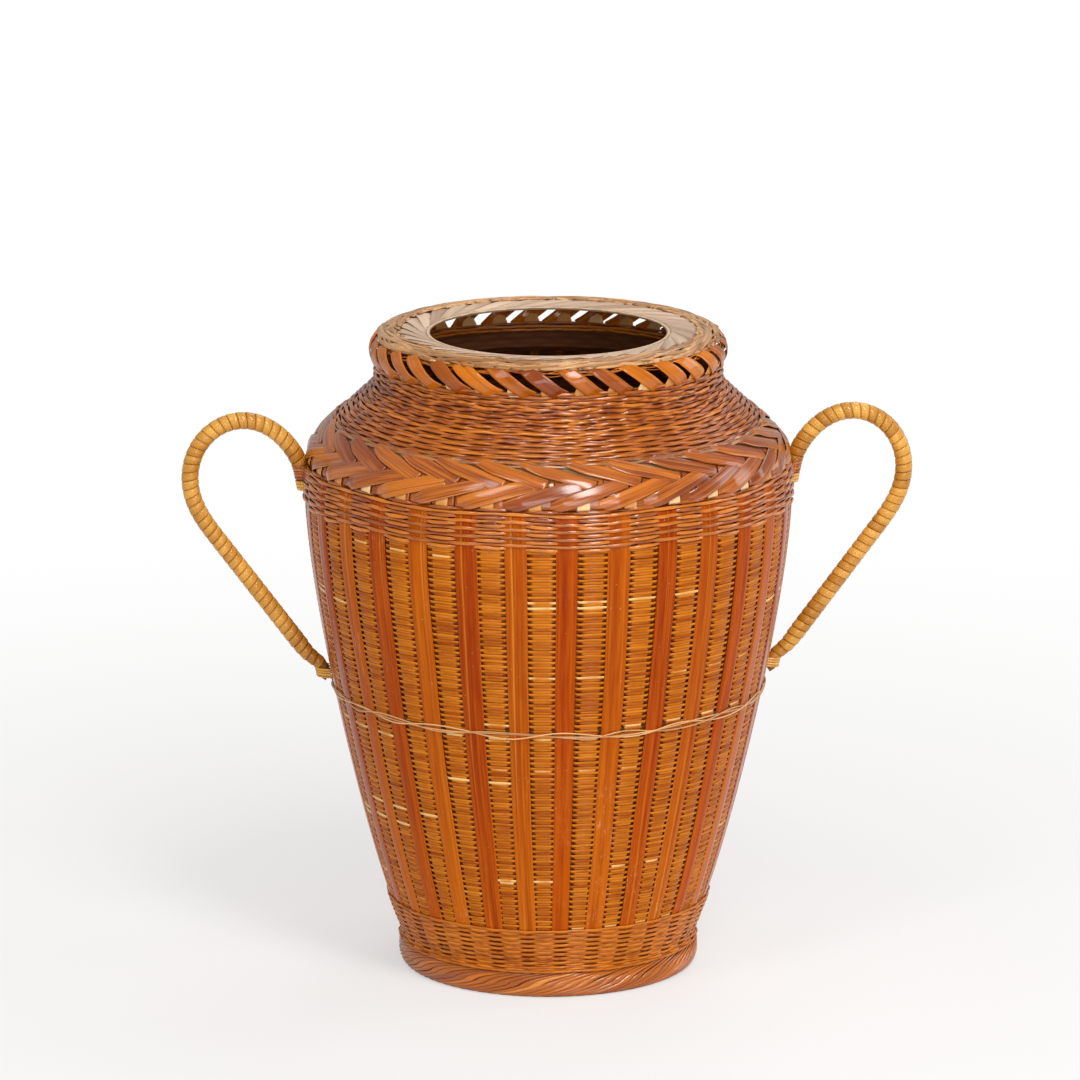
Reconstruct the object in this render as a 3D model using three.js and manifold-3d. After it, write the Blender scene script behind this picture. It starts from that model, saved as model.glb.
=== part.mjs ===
import * as THREE from 'three';
import { mergeVertices } from 'three/addons/utils/BufferGeometryUtils.js';
import Module from 'manifold-3d';

const wasm = await Module();
wasm.setup();

// A woven vase: a tall basket with thirty flat slats, a herringbone braid on the shoulder,
// an openwork rim and two cane-wrapped handles. Millimetres, +Z up, the floor at z = 0,
// the axis of the body on Z and the handles on the X axis.

// Heights of the zones, from the floor up
const footBorderHeight = 12.4;
const baseThickness = 2.5;
const lowerBandHeight = 21.3;
const panelHeight = 187;
const shoulderBandHeight = 19;
const braidHeight = 16.7;
const coneHeight = 18.5;
const collarHeight = 10.5;
const openworkHeight = 9.4;
const rimThickness = 4;

// The side of the body, measured to the face of the slats
const wallFootRadius = 67.7;
const wallTopRadius = 110;
const lowerSwell = 18.1;
const lowerSwellRise = 38.4;
const upperSwell = 11.8;
const upperSwellDrop = 19.9;

// Radii above the shoulder
const coneFootRadius = 99.8;
const collarRadius = 80.3;
const openworkStep = 1.3;
const rimOverhang = 0.6;
const mouthRadius = 53.3;

// Thicknesses of the woven layers
const wallThickness = 1.6;
const slatThickness = 0.8;
const bandThickness = 1.2;
const neckThickness = 1.8;
const braidBulge = 2.8;
const openworkThickness = 2;
const rimEdgeWidth = 1.6;

// Foot border and waist cord
const footBorderProud = 2.1;
const footBorderWidth = 8;
const waistCordHeight = 133;
const waistCordWidth = 1.8;

// Slats, one to each pitch of the weave, wider towards the shoulder
const slatCount = 30;
const slatWidthTop = 10.5;
const slatWidthFoot = 7.6;
const slatTuck = 3;

// Panels of fine weft between the slats, a little behind the slats' faces, with sloping sides
const panelSink = 0.4;
const panelEase = 0.7;

// The neck's rows of strands, as a few ridges on the cone and on the collar
const coneRidges = 6;
const collarRidges = 2;
const ridgeDepth = 0.8;

// Slanting windows of the openwork, seen from outside they fall towards the right
const windowCount = 33;
const windowHeight = 6.8;
const windowWidth = 7.6;
const windowSlant = THREE.MathUtils.degToRad(40);

// Handles: a rod in the plane of the axis, wrapped with a strip of cane
const rodRadius = 3.2;
const wrapThickness = 0.9;
const wrapSlack = 0.25;
const wrapTurns = 24;
const wrapGap = 1.3;
const handleSeatLength = 14;
const handleSeatLift = 3;
const handleRise = 18.8;
const handleTopReach = 23.2;
const handleReach = 47.6;
const handleShoulderDrop = 26.8;
const handleRunTopReach = 32.6;
const handleRunTopDrop = 58.8;
const handleRunFootReach = 9.5;
const handleRunFootLift = 17;
const handleTailLift = 1.6;
const handleTailLength = 6.4;
const handleTailBare = 13;
const tieWidth = 3;
const tieThickness = 0.8;
const upperTiePlaces = [['low', 0.22], ['high', 0.7]];

// Clearance between a piece and what it rests on
const seatGap = 0.3;

// Counts of facets, which set how finely a curve is followed
const panelSteps = 5;
const wrapSteps = 8;
const rodSteps = 36;

// Levels that follow from the heights
const baseBottom = footBorderHeight + seatGap;
const wallBottom = baseBottom + baseThickness + seatGap;
const lowerBandTop = baseBottom + lowerBandHeight;
const shoulderBandBottom = lowerBandTop + panelHeight;
const wallTop = shoulderBandBottom + shoulderBandHeight;
const braidBottom = wallTop + seatGap;
const braidTop = braidBottom + braidHeight;
const coneTop = braidTop + coneHeight;
const collarTop = coneTop + collarHeight;
const openworkBottom = collarTop + seatGap;
const openworkTop = openworkBottom + openworkHeight;
const rimBottom = openworkTop + seatGap;
const rimTop = rimBottom + rimThickness;
const slatBottom = wallBottom + slatTuck / 2;
const slatTop = wallTop - slatTuck;

// Radii that follow from the radii below them
const footBorderRadius = wallFootRadius + footBorderProud;
const openworkRadius = collarRadius + openworkStep;
const rimRadius = openworkRadius + rimOverhang;

// Every ring has two flat facets to a slat, and one of them lies under the slat
const ringSides = 2 * slatCount;
const slatPitch = 2 * Math.PI / slatCount;
const windowPitch = 2 * Math.PI / windowCount;

// Finishes of the lacquered bamboo and of the cane
const slatDark = { color: 0xb25a1e, roughness: 0.35 };
const slatLight = { color: 0xc47a32, roughness: 0.35 };
const weftGold = { color: 0xb0803c, roughness: 0.5 };
const strandBrown = { color: 0xa4602c, roughness: 0.45 };
const braidBrown = { color: 0xb4683a, roughness: 0.35 };
const rimBrown = { color: 0xa8704a, roughness: 0.38 };
const caneGold = { color: 0xcc963c, roughness: 0.42 };

function closedSolid(geometry) {
  const plain = geometry.clone();
  plain.deleteAttribute('normal');
  plain.deleteAttribute('uv');
  const merged = mergeVertices(plain, 1e-3);
  const place = merged.getAttribute('position');
  const corners = [];
  let volume = 0;
  const a = new THREE.Vector3();
  const b = new THREE.Vector3();
  const c = new THREE.Vector3();
  for (let i = 0; i < merged.index.count; i += 3) {
    const face = [merged.index.getX(i), merged.index.getX(i + 1), merged.index.getX(i + 2)];
    if (new Set(face).size < 3) continue;
    corners.push(...face);
    a.fromBufferAttribute(place, face[0]);
    b.fromBufferAttribute(place, face[1]);
    c.fromBufferAttribute(place, face[2]);
    volume += a.dot(b.cross(c));
  }
  merged.setIndex(volume > 0 ? corners : corners.reverse());
  merged.computeVertexNormals();
  return merged;
}

function toManifold(geometry) {
  const solid = closedSolid(geometry);
  return new wasm.Manifold(new wasm.Mesh({
    numProp: 3,
    vertProperties: new Float32Array(solid.getAttribute('position').array),
    triVerts: new Uint32Array(solid.index.array),
  }));
}

function fromManifold(manifold) {
  const mesh = manifold.getMesh();
  const geometry = new THREE.BufferGeometry();
  geometry.setAttribute('position', new THREE.BufferAttribute(new Float32Array(mesh.vertProperties), 3));
  geometry.setIndex(Array.from(mesh.triVerts));
  geometry.computeVertexNormals();
  return geometry;
}

// A ring turned round Z from a closed outline of [radius, height] corners.
// Radii are measured to the middle of a facet.
function ring(outline) {
  const toCorner = 1 / Math.cos(Math.PI / ringSides);
  const points = outline.map(([radius, height]) => new THREE.Vector2(radius * toCorner, height));
  points.push(points[0].clone());
  const turned = new THREE.LatheGeometry(points, ringSides, Math.PI / ringSides);
  turned.rotateX(Math.PI / 2);
  return closedSolid(turned);
}

// A full core turned round Z from the [radius, height] corners of its side, from the foot up
function core(side) {
  const toCorner = 1 / Math.cos(Math.PI / ringSides);
  const outline = [[0, side[0][1]], ...side, [0, side.at(-1)[1]]];
  const points = outline.map(([radius, height]) => new THREE.Vector2(radius * toCorner, height));
  const turned = new THREE.LatheGeometry(points, ringSides, Math.PI / ringSides);
  turned.rotateX(Math.PI / 2);
  return closedSolid(turned);
}

// A full solid through level outlines of [x, y] corners, stacked from the foot up
function stack(heights, outlineAt) {
  const levels = heights.map(outlineAt);
  const sides = levels[0].length;
  const vertices = levels.flatMap((outline, k) => outline.flatMap(([x, y]) => [x, y, heights[k]]));
  const last = sides * (levels.length - 1);
  const footCentre = sides * levels.length;
  const topCentre = footCentre + 1;
  vertices.push(0, 0, heights[0], 0, 0, heights.at(-1));
  const faces = [];
  for (let i = 0; i < sides; i += 1) {
    const j = (i + 1) % sides;
    for (let row = 0; row < last; row += sides) {
      const a = row + i;
      const b = row + j;
      faces.push(a, b, b + sides, a, b + sides, a + sides);
    }
    faces.push(footCentre, j, i, topCentre, last + i, last + j);
  }
  const geometry = new THREE.BufferGeometry();
  geometry.setAttribute('position', new THREE.Float32BufferAttribute(vertices, 3));
  geometry.setIndex(faces);
  return closedSolid(geometry);
}

// A cord's rounded section with a flat underside and top
function cordOutline(centreRadius, bottom, width, height, corners) {
  const start = -Math.PI / 2 + Math.PI / corners;
  const reach = Math.cos(Math.PI / corners);
  const outline = [];
  for (let i = 0; i < corners; i += 1) {
    const angle = start + i * 2 * Math.PI / corners;
    outline.push([
      centreRadius + width / 2 * Math.cos(angle),
      bottom + height / 2 + height / 2 / reach * Math.sin(angle),
    ]);
  }
  return outline;
}

// The side curve, as the radius of the slats' outer face at a height
const sideCurve = new THREE.CubicBezierCurve(
  new THREE.Vector2(wallFootRadius, wallBottom),
  new THREE.Vector2(wallFootRadius + lowerSwell, wallBottom + lowerSwellRise),
  new THREE.Vector2(wallTopRadius + upperSwell, wallTop - upperSwellDrop),
  new THREE.Vector2(wallTopRadius, wallTop),
);

function sideRadius(height) {
  let low = 0;
  let high = 1;
  for (let i = 0; i < 40; i += 1) {
    const middle = (low + high) / 2;
    if (sideCurve.getPoint(middle).y < height) low = middle;
    else high = middle;
  }
  return sideCurve.getPoint((low + high) / 2).x;
}

// Wall, slats and bands bend at the same heights, so the clearance between them stays even
const bendHeights = [wallBottom, slatBottom, lowerBandTop];
for (let i = 1; i < panelSteps; i += 1) bendHeights.push(lowerBandTop + panelHeight * i / panelSteps);
bendHeights.push(shoulderBandBottom, slatTop, wallTop);
const sameHeight = 0.1;

function heightsBetween(bottom, top) {
  const within = bendHeights.filter((z) => z > bottom + sameHeight && z < top - sameHeight);
  return [bottom, ...within, top];
}

function offsetSide(heights, offset) {
  return heights.map((z) => [sideRadius(z) + offset, z]);
}

const wallFace = -slatThickness - seatGap;
const bandFace = seatGap + bandThickness;

function slatHalfWidth(height) {
  const share = (height - slatBottom) / (slatTop - slatBottom);
  return (slatWidthFoot + (slatWidthTop - slatWidthFoot) * share) / 2;
}

// The wall's outline at a height: a sunk bed under each slat and a raised panel between two
function wallOutline(height) {
  const bed = sideRadius(height) + wallFace;
  const bedHalf = slatHalfWidth(height) + seatGap;
  const edgeHalf = bedHalf + panelEase;
  const panelRadius = sideRadius(height) - panelSink;
  const edge = (panelRadius - edgeHalf * Math.sin(slatPitch / 2)) / Math.cos(slatPitch / 2);
  const corners = [[edge, -edgeHalf], [bed, -bedHalf], [bed, bedHalf], [edge, edgeHalf]];
  const outline = [];
  for (let i = 0; i < slatCount; i += 1) {
    const turn = (i + 0.5) * slatPitch;
    corners.forEach(([x, y]) => outline.push([
      x * Math.cos(turn) - y * Math.sin(turn),
      x * Math.sin(turn) + y * Math.cos(turn),
    ]));
  }
  return outline;
}

function bodyWall() {
  const heights = heightsBetween(wallBottom, wallTop);
  const hollow = offsetSide(heights.filter((z, i) => i % 2 === 0), wallFace - wallThickness);
  const beyond = wallThickness;
  hollow.unshift([hollow[0][0], wallBottom - beyond]);
  hollow.push([sideRadius(wallTop) + wallFace - wallThickness, wallTop]);
  hollow.push([hollow.at(-1)[0], wallTop + beyond]);
  return fromManifold(toManifold(stack(heights, wallOutline)).subtract(toManifold(core(hollow))));
}

// A band of thicker strands that goes round over the slats
function band(bottom, top, outerSteps) {
  const outer = [];
  for (let i = 0; i <= outerSteps; i += 1) outer.push(bottom + (top - bottom) * i / outerSteps);
  const inner = offsetSide(heightsBetween(bottom, top), seatGap).reverse();
  return ring([...offsetSide(outer, bandFace), ...inner]);
}

// One flat slat that follows the side, standing over the +X axis
function slat() {
  const heights = heightsBetween(slatBottom, slatTop);
  const vertices = [];
  const faces = [];
  heights.forEach((z) => {
    const outer = sideRadius(z);
    const half = slatHalfWidth(z);
    vertices.push(outer - slatThickness, -half, z, outer, -half, z);
    vertices.push(outer, half, z, outer - slatThickness, half, z);
  });
  for (let level = 0; level < heights.length - 1; level += 1) {
    for (let side = 0; side < 4; side += 1) {
      const a = 4 * level + side;
      const b = 4 * level + (side + 1) % 4;
      faces.push(a, b, b + 4, a, b + 4, a + 4);
    }
  }
  const last = 4 * (heights.length - 1);
  faces.push(0, 2, 1, 0, 3, 2, last, last + 1, last + 2, last, last + 2, last + 3);
  const geometry = new THREE.BufferGeometry();
  geometry.setAttribute('position', new THREE.Float32BufferAttribute(vertices, 3));
  geometry.setIndex(faces);
  return closedSolid(geometry);
}

// The shoulder: the neck's shell starts on the wall, runs inside the braid and steps out above it
const neckFootRadius = sideRadius(wallTop) + wallFace;
const neckLedge = braidBulge;
const neckWaistRadius = coneFootRadius - neckLedge;

function shoulderBraid() {
  const foot = new THREE.Vector2(sideRadius(wallTop) + bandFace + seatGap, braidBottom);
  const head = new THREE.Vector2(coneFootRadius, braidTop);
  const chord = head.clone().sub(foot);
  const outward = new THREE.Vector2(chord.y, -chord.x).normalize();
  const crown = foot.clone().add(head).multiplyScalar(0.5).addScaledVector(outward, braidBulge);
  const curve = new THREE.QuadraticBezierCurve(foot, crown, head);
  const outer = curve.getPoints(3).map((point) => [point.x, point.y]);
  return ring([
    ...outer,
    [neckWaistRadius + seatGap, braidTop],
    [neckFootRadius + seatGap, braidBottom],
  ]);
}

// The corners of a stretch of side from one [radius, height] to another, ridged by its rows
function ridged([startRadius, startHeight], [endRadius, endHeight], count) {
  const run = new THREE.Vector2(endRadius - startRadius, endHeight - startHeight);
  const inward = new THREE.Vector2(-run.y, run.x).normalize();
  const corners = [];
  for (let i = 0; i < 2 * count; i += 1) {
    const depth = i % 2 ? 0 : ridgeDepth;
    corners.push([
      startRadius + run.x * i / (2 * count) + inward.x * depth,
      startHeight + run.y * i / (2 * count) + inward.y * depth,
    ]);
  }
  return corners;
}

function neckWeave() {
  const ledge = braidTop + seatGap;
  const slope = (coneFootRadius - collarRadius) / coneHeight;
  const coneFoot = [coneFootRadius - slope * seatGap, ledge];
  return ring([
    [neckFootRadius, braidBottom],
    [neckWaistRadius, ledge],
    coneFoot,
    ...ridged(coneFoot, [collarRadius, coneTop], coneRidges).slice(1),
    ...ridged([collarRadius, coneTop], [collarRadius, collarTop], collarRidges),
    [collarRadius, collarTop],
    [collarRadius - neckThickness, collarTop],
    [collarRadius - neckThickness, coneTop - neckThickness],
    [neckWaistRadius - neckThickness, ledge],
    [neckFootRadius - wallThickness, braidBottom],
  ]);
}

// The openwork: a thin hoop pierced by slanting windows
function rimOpenwork() {
  const inner = openworkRadius - openworkThickness;
  let hoop = toManifold(ring([
    [inner, openworkBottom],
    [openworkRadius, openworkBottom],
    [openworkRadius, openworkTop],
    [inner, openworkTop],
  ]));
  const lean = windowHeight / 2 / Math.tan(windowSlant);
  const outline = new THREE.Shape([
    new THREE.Vector2(-lean - windowWidth / 2, windowHeight / 2),
    new THREE.Vector2(lean - windowWidth / 2, -windowHeight / 2),
    new THREE.Vector2(lean + windowWidth / 2, -windowHeight / 2),
    new THREE.Vector2(-lean + windowWidth / 2, windowHeight / 2),
  ]);
  const beyond = 1.5 * openworkThickness;
  const depth = openworkThickness + 2 * beyond;
  const tangent = new THREE.Vector3(0, 1, 0);
  const up = new THREE.Vector3(0, 0, 1);
  const outward = new THREE.Vector3(1, 0, 0);
  const stand = new THREE.Matrix4().makeBasis(tangent, up, outward);
  stand.setPosition(inner - beyond, 0, (openworkBottom + openworkTop) / 2);
  for (let i = 0; i < windowCount; i += 1) {
    const cutter = new THREE.ExtrudeGeometry(outline, { depth, bevelEnabled: false });
    cutter.applyMatrix4(stand);
    cutter.rotateZ(i * windowPitch);
    hoop = hoop.subtract(toManifold(cutter));
  }
  return fromManifold(hoop);
}

// The rim's flat plait, rounded a little towards the mouth
function rimPlait() {
  const outer = rimRadius - rimEdgeWidth - seatGap;
  const round = rimThickness / 4;
  return ring([
    [mouthRadius + round, rimBottom],
    [outer, rimBottom],
    [outer, rimTop],
    [mouthRadius + round, rimTop],
    [mouthRadius, rimBottom + rimThickness / 2],
  ]);
}

function rimEdge() {
  const centre = rimRadius - rimEdgeWidth / 2;
  return ring(cordOutline(centre, rimBottom, rimEdgeWidth, rimThickness, 6));
}

function waistCord() {
  const centre = sideRadius(waistCordHeight) + seatGap + waistCordWidth / 2;
  const bottom = waistCordHeight - waistCordWidth / 2;
  return ring(cordOutline(centre, bottom, waistCordWidth, waistCordWidth, 6));
}

function footBorder() {
  const corners = 8;
  const reach = Math.cos(Math.PI / corners);
  const width = footBorderWidth / reach;
  const centre = footBorderRadius - footBorderWidth / 2;
  return ring(cordOutline(centre, 0, width, footBorderHeight, corners));
}

// The rod's path in the XZ plane: down the shoulder band, up and over the loop,
// down the straight run and along the wall to the waist cord
const seatBottom = shoulderBandBottom + handleSeatLift;
const seatTop = seatBottom + handleSeatLength;
let bandReach = 0;
for (let i = 0; i <= 10; i += 1) {
  const z = seatBottom + handleSeatLength * i / 10;
  bandReach = Math.max(bandReach, sideRadius(z) + bandFace);
}
const seatRadius = bandReach + seatGap + rodRadius;
const waistCordTop = waistCordHeight + waistCordWidth / 2;
const tailBottom = waistCordTop + handleTailLift;
const tailTop = tailBottom + handleTailLength;
const tailLean = Math.atan((sideRadius(tailTop) - sideRadius(tailBottom)) / handleTailLength);

// The tail lies against the panel behind it
function tailRadius(height) {
  return sideRadius(height) - panelSink + (seatGap + rodRadius) / Math.cos(tailLean);
}

function onPlane(radius, height) {
  return new THREE.Vector3(radius, 0, height);
}

function handlePath() {
  const topHeight = wallTop + handleRise;
  const shoulderHeight = topHeight - handleShoulderDrop;
  const reach = seatRadius + handleReach;
  const topReach = seatRadius + handleTopReach;
  const runTop = onPlane(seatRadius + handleRunTopReach, topHeight - handleRunTopDrop);
  const runFoot = onPlane(tailRadius(tailBottom) + handleRunFootReach, waistCordHeight + handleRunFootLift);
  const run = runTop.clone().sub(runFoot).normalize();
  const tailEnd = onPlane(tailRadius(tailBottom), tailBottom);
  const tailStart = onPlane(tailRadius(tailTop), tailTop);
  const tail = tailStart.clone().sub(tailEnd).normalize();
  // The pulls of the curves: a quarter turn, the ease into the run and the two ends of the tail's bend
  const bend = 0.552;
  const ease = 0.4 * (shoulderHeight - runTop.z);
  const leave = 0.3 * handleRunFootLift;
  const arrive = 0.2 * handleRunFootLift;
  const seatEnd = onPlane(seatRadius, seatTop);
  const top = onPlane(topReach, topHeight);
  const shoulder = onPlane(reach, shoulderHeight);
  const path = new THREE.CurvePath();
  path.add(new THREE.LineCurve3(onPlane(seatRadius, seatBottom), seatEnd));
  path.add(new THREE.CubicBezierCurve3(
    seatEnd,
    onPlane(seatRadius, seatTop + bend * (topHeight - seatTop)),
    onPlane(topReach - bend * handleTopReach, topHeight),
    top,
  ));
  path.add(new THREE.CubicBezierCurve3(
    top,
    onPlane(topReach + bend * (reach - topReach), topHeight),
    onPlane(reach, shoulderHeight + bend * handleShoulderDrop),
    shoulder,
  ));
  path.add(new THREE.CubicBezierCurve3(
    shoulder,
    onPlane(reach, shoulderHeight - ease),
    runTop.clone().addScaledVector(run, ease),
    runTop,
  ));
  path.add(new THREE.LineCurve3(runTop, runFoot));
  path.add(new THREE.CubicBezierCurve3(
    runFoot,
    runFoot.clone().addScaledVector(run, -leave),
    tailStart.clone().addScaledVector(tail, arrive),
    tailStart,
  ));
  path.add(new THREE.LineCurve3(tailStart, tailEnd));
  return path;
}

const rodPath = handlePath();
const rodLength = rodPath.getLength();

function handleRod() {
  const section = new THREE.Shape();
  section.absarc(0, 0, rodRadius, 0, 2 * Math.PI);
  return closedSolid(new THREE.ExtrudeGeometry(section, {
    curveSegments: 4,
    steps: rodSteps,
    bevelEnabled: false,
    extrudePath: rodPath,
  }));
}

// The cane strip winds along the rod as one ribbon of rectangular section
const wrapStart = handleSeatLength + seatGap;
const wrapPitch = (rodLength - wrapStart - handleTailBare) / wrapTurns;
const wrapWidth = wrapPitch - wrapGap;
const wrapInner = (rodRadius + wrapSlack) / Math.cos(Math.PI / wrapSteps);
const wrapOuter = wrapInner + wrapThickness;

function wrapPoint(distance, angle, radius) {
  const share = Math.min(Math.max(distance / rodLength, 0), 1);
  const centre = rodPath.getPointAt(share);
  const along = rodPath.getTangentAt(share);
  const across = new THREE.Vector3(along.z, 0, -along.x);
  centre.addScaledVector(across, radius * Math.cos(angle));
  centre.y += radius * Math.sin(angle);
  return centre;
}

function handleWrap() {
  const vertices = [];
  const faces = [];
  const edges = [[], []];
  const count = wrapTurns * wrapSteps - wrapSteps;
  for (let i = 0; i <= count; i += 1) {
    const angle = i * 2 * Math.PI / wrapSteps;
    const middle = wrapStart + wrapWidth / 2 + wrapPitch * i / wrapSteps;
    const section = [
      wrapPoint(middle - wrapWidth / 2, angle, wrapInner),
      wrapPoint(middle + wrapWidth / 2, angle, wrapInner),
      wrapPoint(middle + wrapWidth / 2, angle, wrapOuter),
      wrapPoint(middle - wrapWidth / 2, angle, wrapOuter),
    ];
    section.forEach((point) => vertices.push(point.x, point.y, point.z));
    edges[0].push(section[0], section[3]);
    edges[1].push(section[1], section[2]);
  }
  for (let i = 0; i < count; i += 1) {
    for (let side = 0; side < 4; side += 1) {
      const a = 4 * i + side;
      const b = 4 * i + (side + 1) % 4;
      faces.push(a, b, b + 4, a, b + 4, a + 4);
    }
  }
  const last = 4 * count;
  faces.push(0, 2, 1, 0, 3, 2, last, last + 1, last + 2, last, last + 2, last + 3);
  let leastGap = Infinity;
  edges[1].forEach((point, i) => {
    const next = i + 2 * wrapSteps;
    for (let j = next - 4; j <= next + 4; j += 1) {
      if (edges[0][j]) leastGap = Math.min(leastGap, point.distanceTo(edges[0][j]));
    }
  });
  console.log(`least gap between turns of the wrap: ${leastGap.toFixed(2)} mm`);
  const geometry = new THREE.BufferGeometry();
  geometry.setAttribute('position', new THREE.Float32BufferAttribute(vertices, 3));
  geometry.setIndex(faces);
  return closedSolid(geometry);
}

// A strip of cane over the rod's end, with both legs down to the weave.
// It lies across the rod, with its middle at z = 0 and the rod's axis on Z.
function tieArch(depthBelowRod) {
  const inner = rodRadius + seatGap;
  const outer = inner + tieThickness;
  const outline = new THREE.Shape();
  outline.moveTo(-depthBelowRod, -outer);
  outline.lineTo(0, -outer);
  outline.absarc(0, 0, outer, -Math.PI / 2, Math.PI / 2);
  outline.lineTo(-depthBelowRod, outer);
  outline.lineTo(-depthBelowRod, inner);
  outline.lineTo(0, inner);
  outline.absarc(0, 0, inner, Math.PI / 2, -Math.PI / 2, true);
  outline.lineTo(-depthBelowRod, -inner);
  const settings = { depth: tieWidth, curveSegments: 4, bevelEnabled: false };
  const arch = new THREE.ExtrudeGeometry(outline, settings);
  arch.translate(0, 0, -tieWidth / 2);
  return closedSolid(arch);
}

const vase = new THREE.Group();

function addPiece(parent, name, geometry, finish) {
  const material = new THREE.MeshStandardMaterial({ ...finish, metalness: 0 });
  const mesh = new THREE.Mesh(geometry, material);
  mesh.name = name;
  parent.add(mesh);
  return mesh;
}

const baseRadius = sideRadius(wallBottom) + wallFace;
const baseSide = [[baseRadius, baseBottom], [baseRadius, wallBottom - seatGap]];
addPiece(vase, 'base_weave', core(baseSide), weftGold);
addPiece(vase, 'foot_border', footBorder(), strandBrown);
addPiece(vase, 'lower_band', band(baseBottom, lowerBandTop, 3), strandBrown);
addPiece(vase, 'body_wall', bodyWall(), weftGold);
addPiece(vase, 'waist_cord', waistCord(), strandBrown);
addPiece(vase, 'shoulder_band', band(shoulderBandBottom, wallTop, 4), strandBrown);
addPiece(vase, 'shoulder_braid', shoulderBraid(), braidBrown);
addPiece(vase, 'neck_weave', neckWeave(), strandBrown);
addPiece(vase, 'rim_openwork', rimOpenwork(), rimBrown);
addPiece(vase, 'rim_plait', rimPlait(), rimBrown);
addPiece(vase, 'rim_edge', rimEdge(), rimBrown);

const slatShape = slat();
for (let i = 0; i < slatCount; i += 1) {
  const name = `slat_${String(i + 1).padStart(2, '0')}`;
  const mesh = addPiece(vase, name, slatShape, i % 2 ? slatLight : slatDark);
  mesh.rotation.z = (i + 0.5) * slatPitch;
}

// How far a strip of the shoulder band stands out behind a tie at a height
function bandReachBehindTie(height) {
  const edges = [height - tieWidth / 2, height, height + tieWidth / 2];
  return Math.max(...edges.map(sideRadius)) + bandFace;
}

const rodShape = handleRod();
const wrapShape = handleWrap();
const lowerTieShape = tieArch(rodRadius);
const tailMiddle = (tailBottom + tailTop) / 2;
for (const [side, turn] of [['right', 0], ['left', Math.PI]]) {
  const handle = new THREE.Group();
  handle.rotation.z = turn;
  addPiece(handle, `handle_rod_${side}`, rodShape, caneGold);
  addPiece(handle, `handle_wrap_${side}`, wrapShape, caneGold);
  for (const [place, share] of upperTiePlaces) {
    const height = seatBottom + share * handleSeatLength;
    const legs = seatRadius - bandReachBehindTie(height) - seatGap;
    const tie = addPiece(handle, `upper_tie_${place}_${side}`, tieArch(legs), caneGold);
    tie.position.set(seatRadius, 0, height);
  }
  const lowerTie = addPiece(handle, `lower_tie_${side}`, lowerTieShape, caneGold);
  lowerTie.position.set(tailRadius(tailMiddle), 0, tailMiddle);
  lowerTie.rotation.y = tailLean;
  vase.add(handle);
}

console.log(`height ${rimTop.toFixed(1)} mm, rod length ${rodLength.toFixed(1)} mm`);

export default vase;
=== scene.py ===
# Woven vase: fine split weft between upright slats, a braided shoulder, an openwork rim and two cane handles
import math

import bmesh
import bpy
import numpy as np
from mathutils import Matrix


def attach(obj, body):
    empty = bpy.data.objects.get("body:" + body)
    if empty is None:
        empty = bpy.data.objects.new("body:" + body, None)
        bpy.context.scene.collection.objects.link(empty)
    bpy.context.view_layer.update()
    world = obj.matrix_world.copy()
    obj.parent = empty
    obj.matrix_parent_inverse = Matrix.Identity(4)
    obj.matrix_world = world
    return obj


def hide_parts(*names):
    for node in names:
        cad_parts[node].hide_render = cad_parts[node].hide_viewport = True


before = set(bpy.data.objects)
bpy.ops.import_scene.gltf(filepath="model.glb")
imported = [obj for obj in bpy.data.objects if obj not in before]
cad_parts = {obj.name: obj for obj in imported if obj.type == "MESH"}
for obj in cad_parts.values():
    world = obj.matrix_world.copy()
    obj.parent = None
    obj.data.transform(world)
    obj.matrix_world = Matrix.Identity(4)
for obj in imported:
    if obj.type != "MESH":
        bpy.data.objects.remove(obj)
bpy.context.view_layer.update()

mm = 0.001
turn = 2 * math.pi


# shader maths: one wire for each socket, one method for every node

def fromScreen(*screen):                           # red, green and blue as on screen, 0 to 255
    linear = (c / 255 / 12.92 if c <= 10 else ((c / 255 + 0.055) / 1.055) ** 2.4 for c in screen)
    return (*linear, 1.0)


class Wire:
    def __init__(self, kit, socket):
        self.kit, self.socket = kit, socket

    def maths(self, operation, first, second):
        return self.kit.node("ShaderNodeMath", {"operation": operation}, {0: first, 1: second})

    def __add__(self, other):
        return self.maths("ADD", self, other)

    def __radd__(self, other):
        return self.maths("ADD", other, self)

    def __sub__(self, other):
        return self.maths("SUBTRACT", self, other)

    def __rsub__(self, other):
        return self.maths("SUBTRACT", other, self)

    def __mul__(self, other):
        return self.maths("MULTIPLY", self, other)

    def __rmul__(self, other):
        return self.maths("MULTIPLY", other, self)

    def held(self, low, high):                     # 0 at low, 1 at high, smooth between
        settings = {"interpolation_type": "SMOOTHSTEP"}
        return self.kit.node("ShaderNodeMapRange", settings, {0: self, 1: low, 2: high, 3: 0.0, 4: 1.0})


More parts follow.
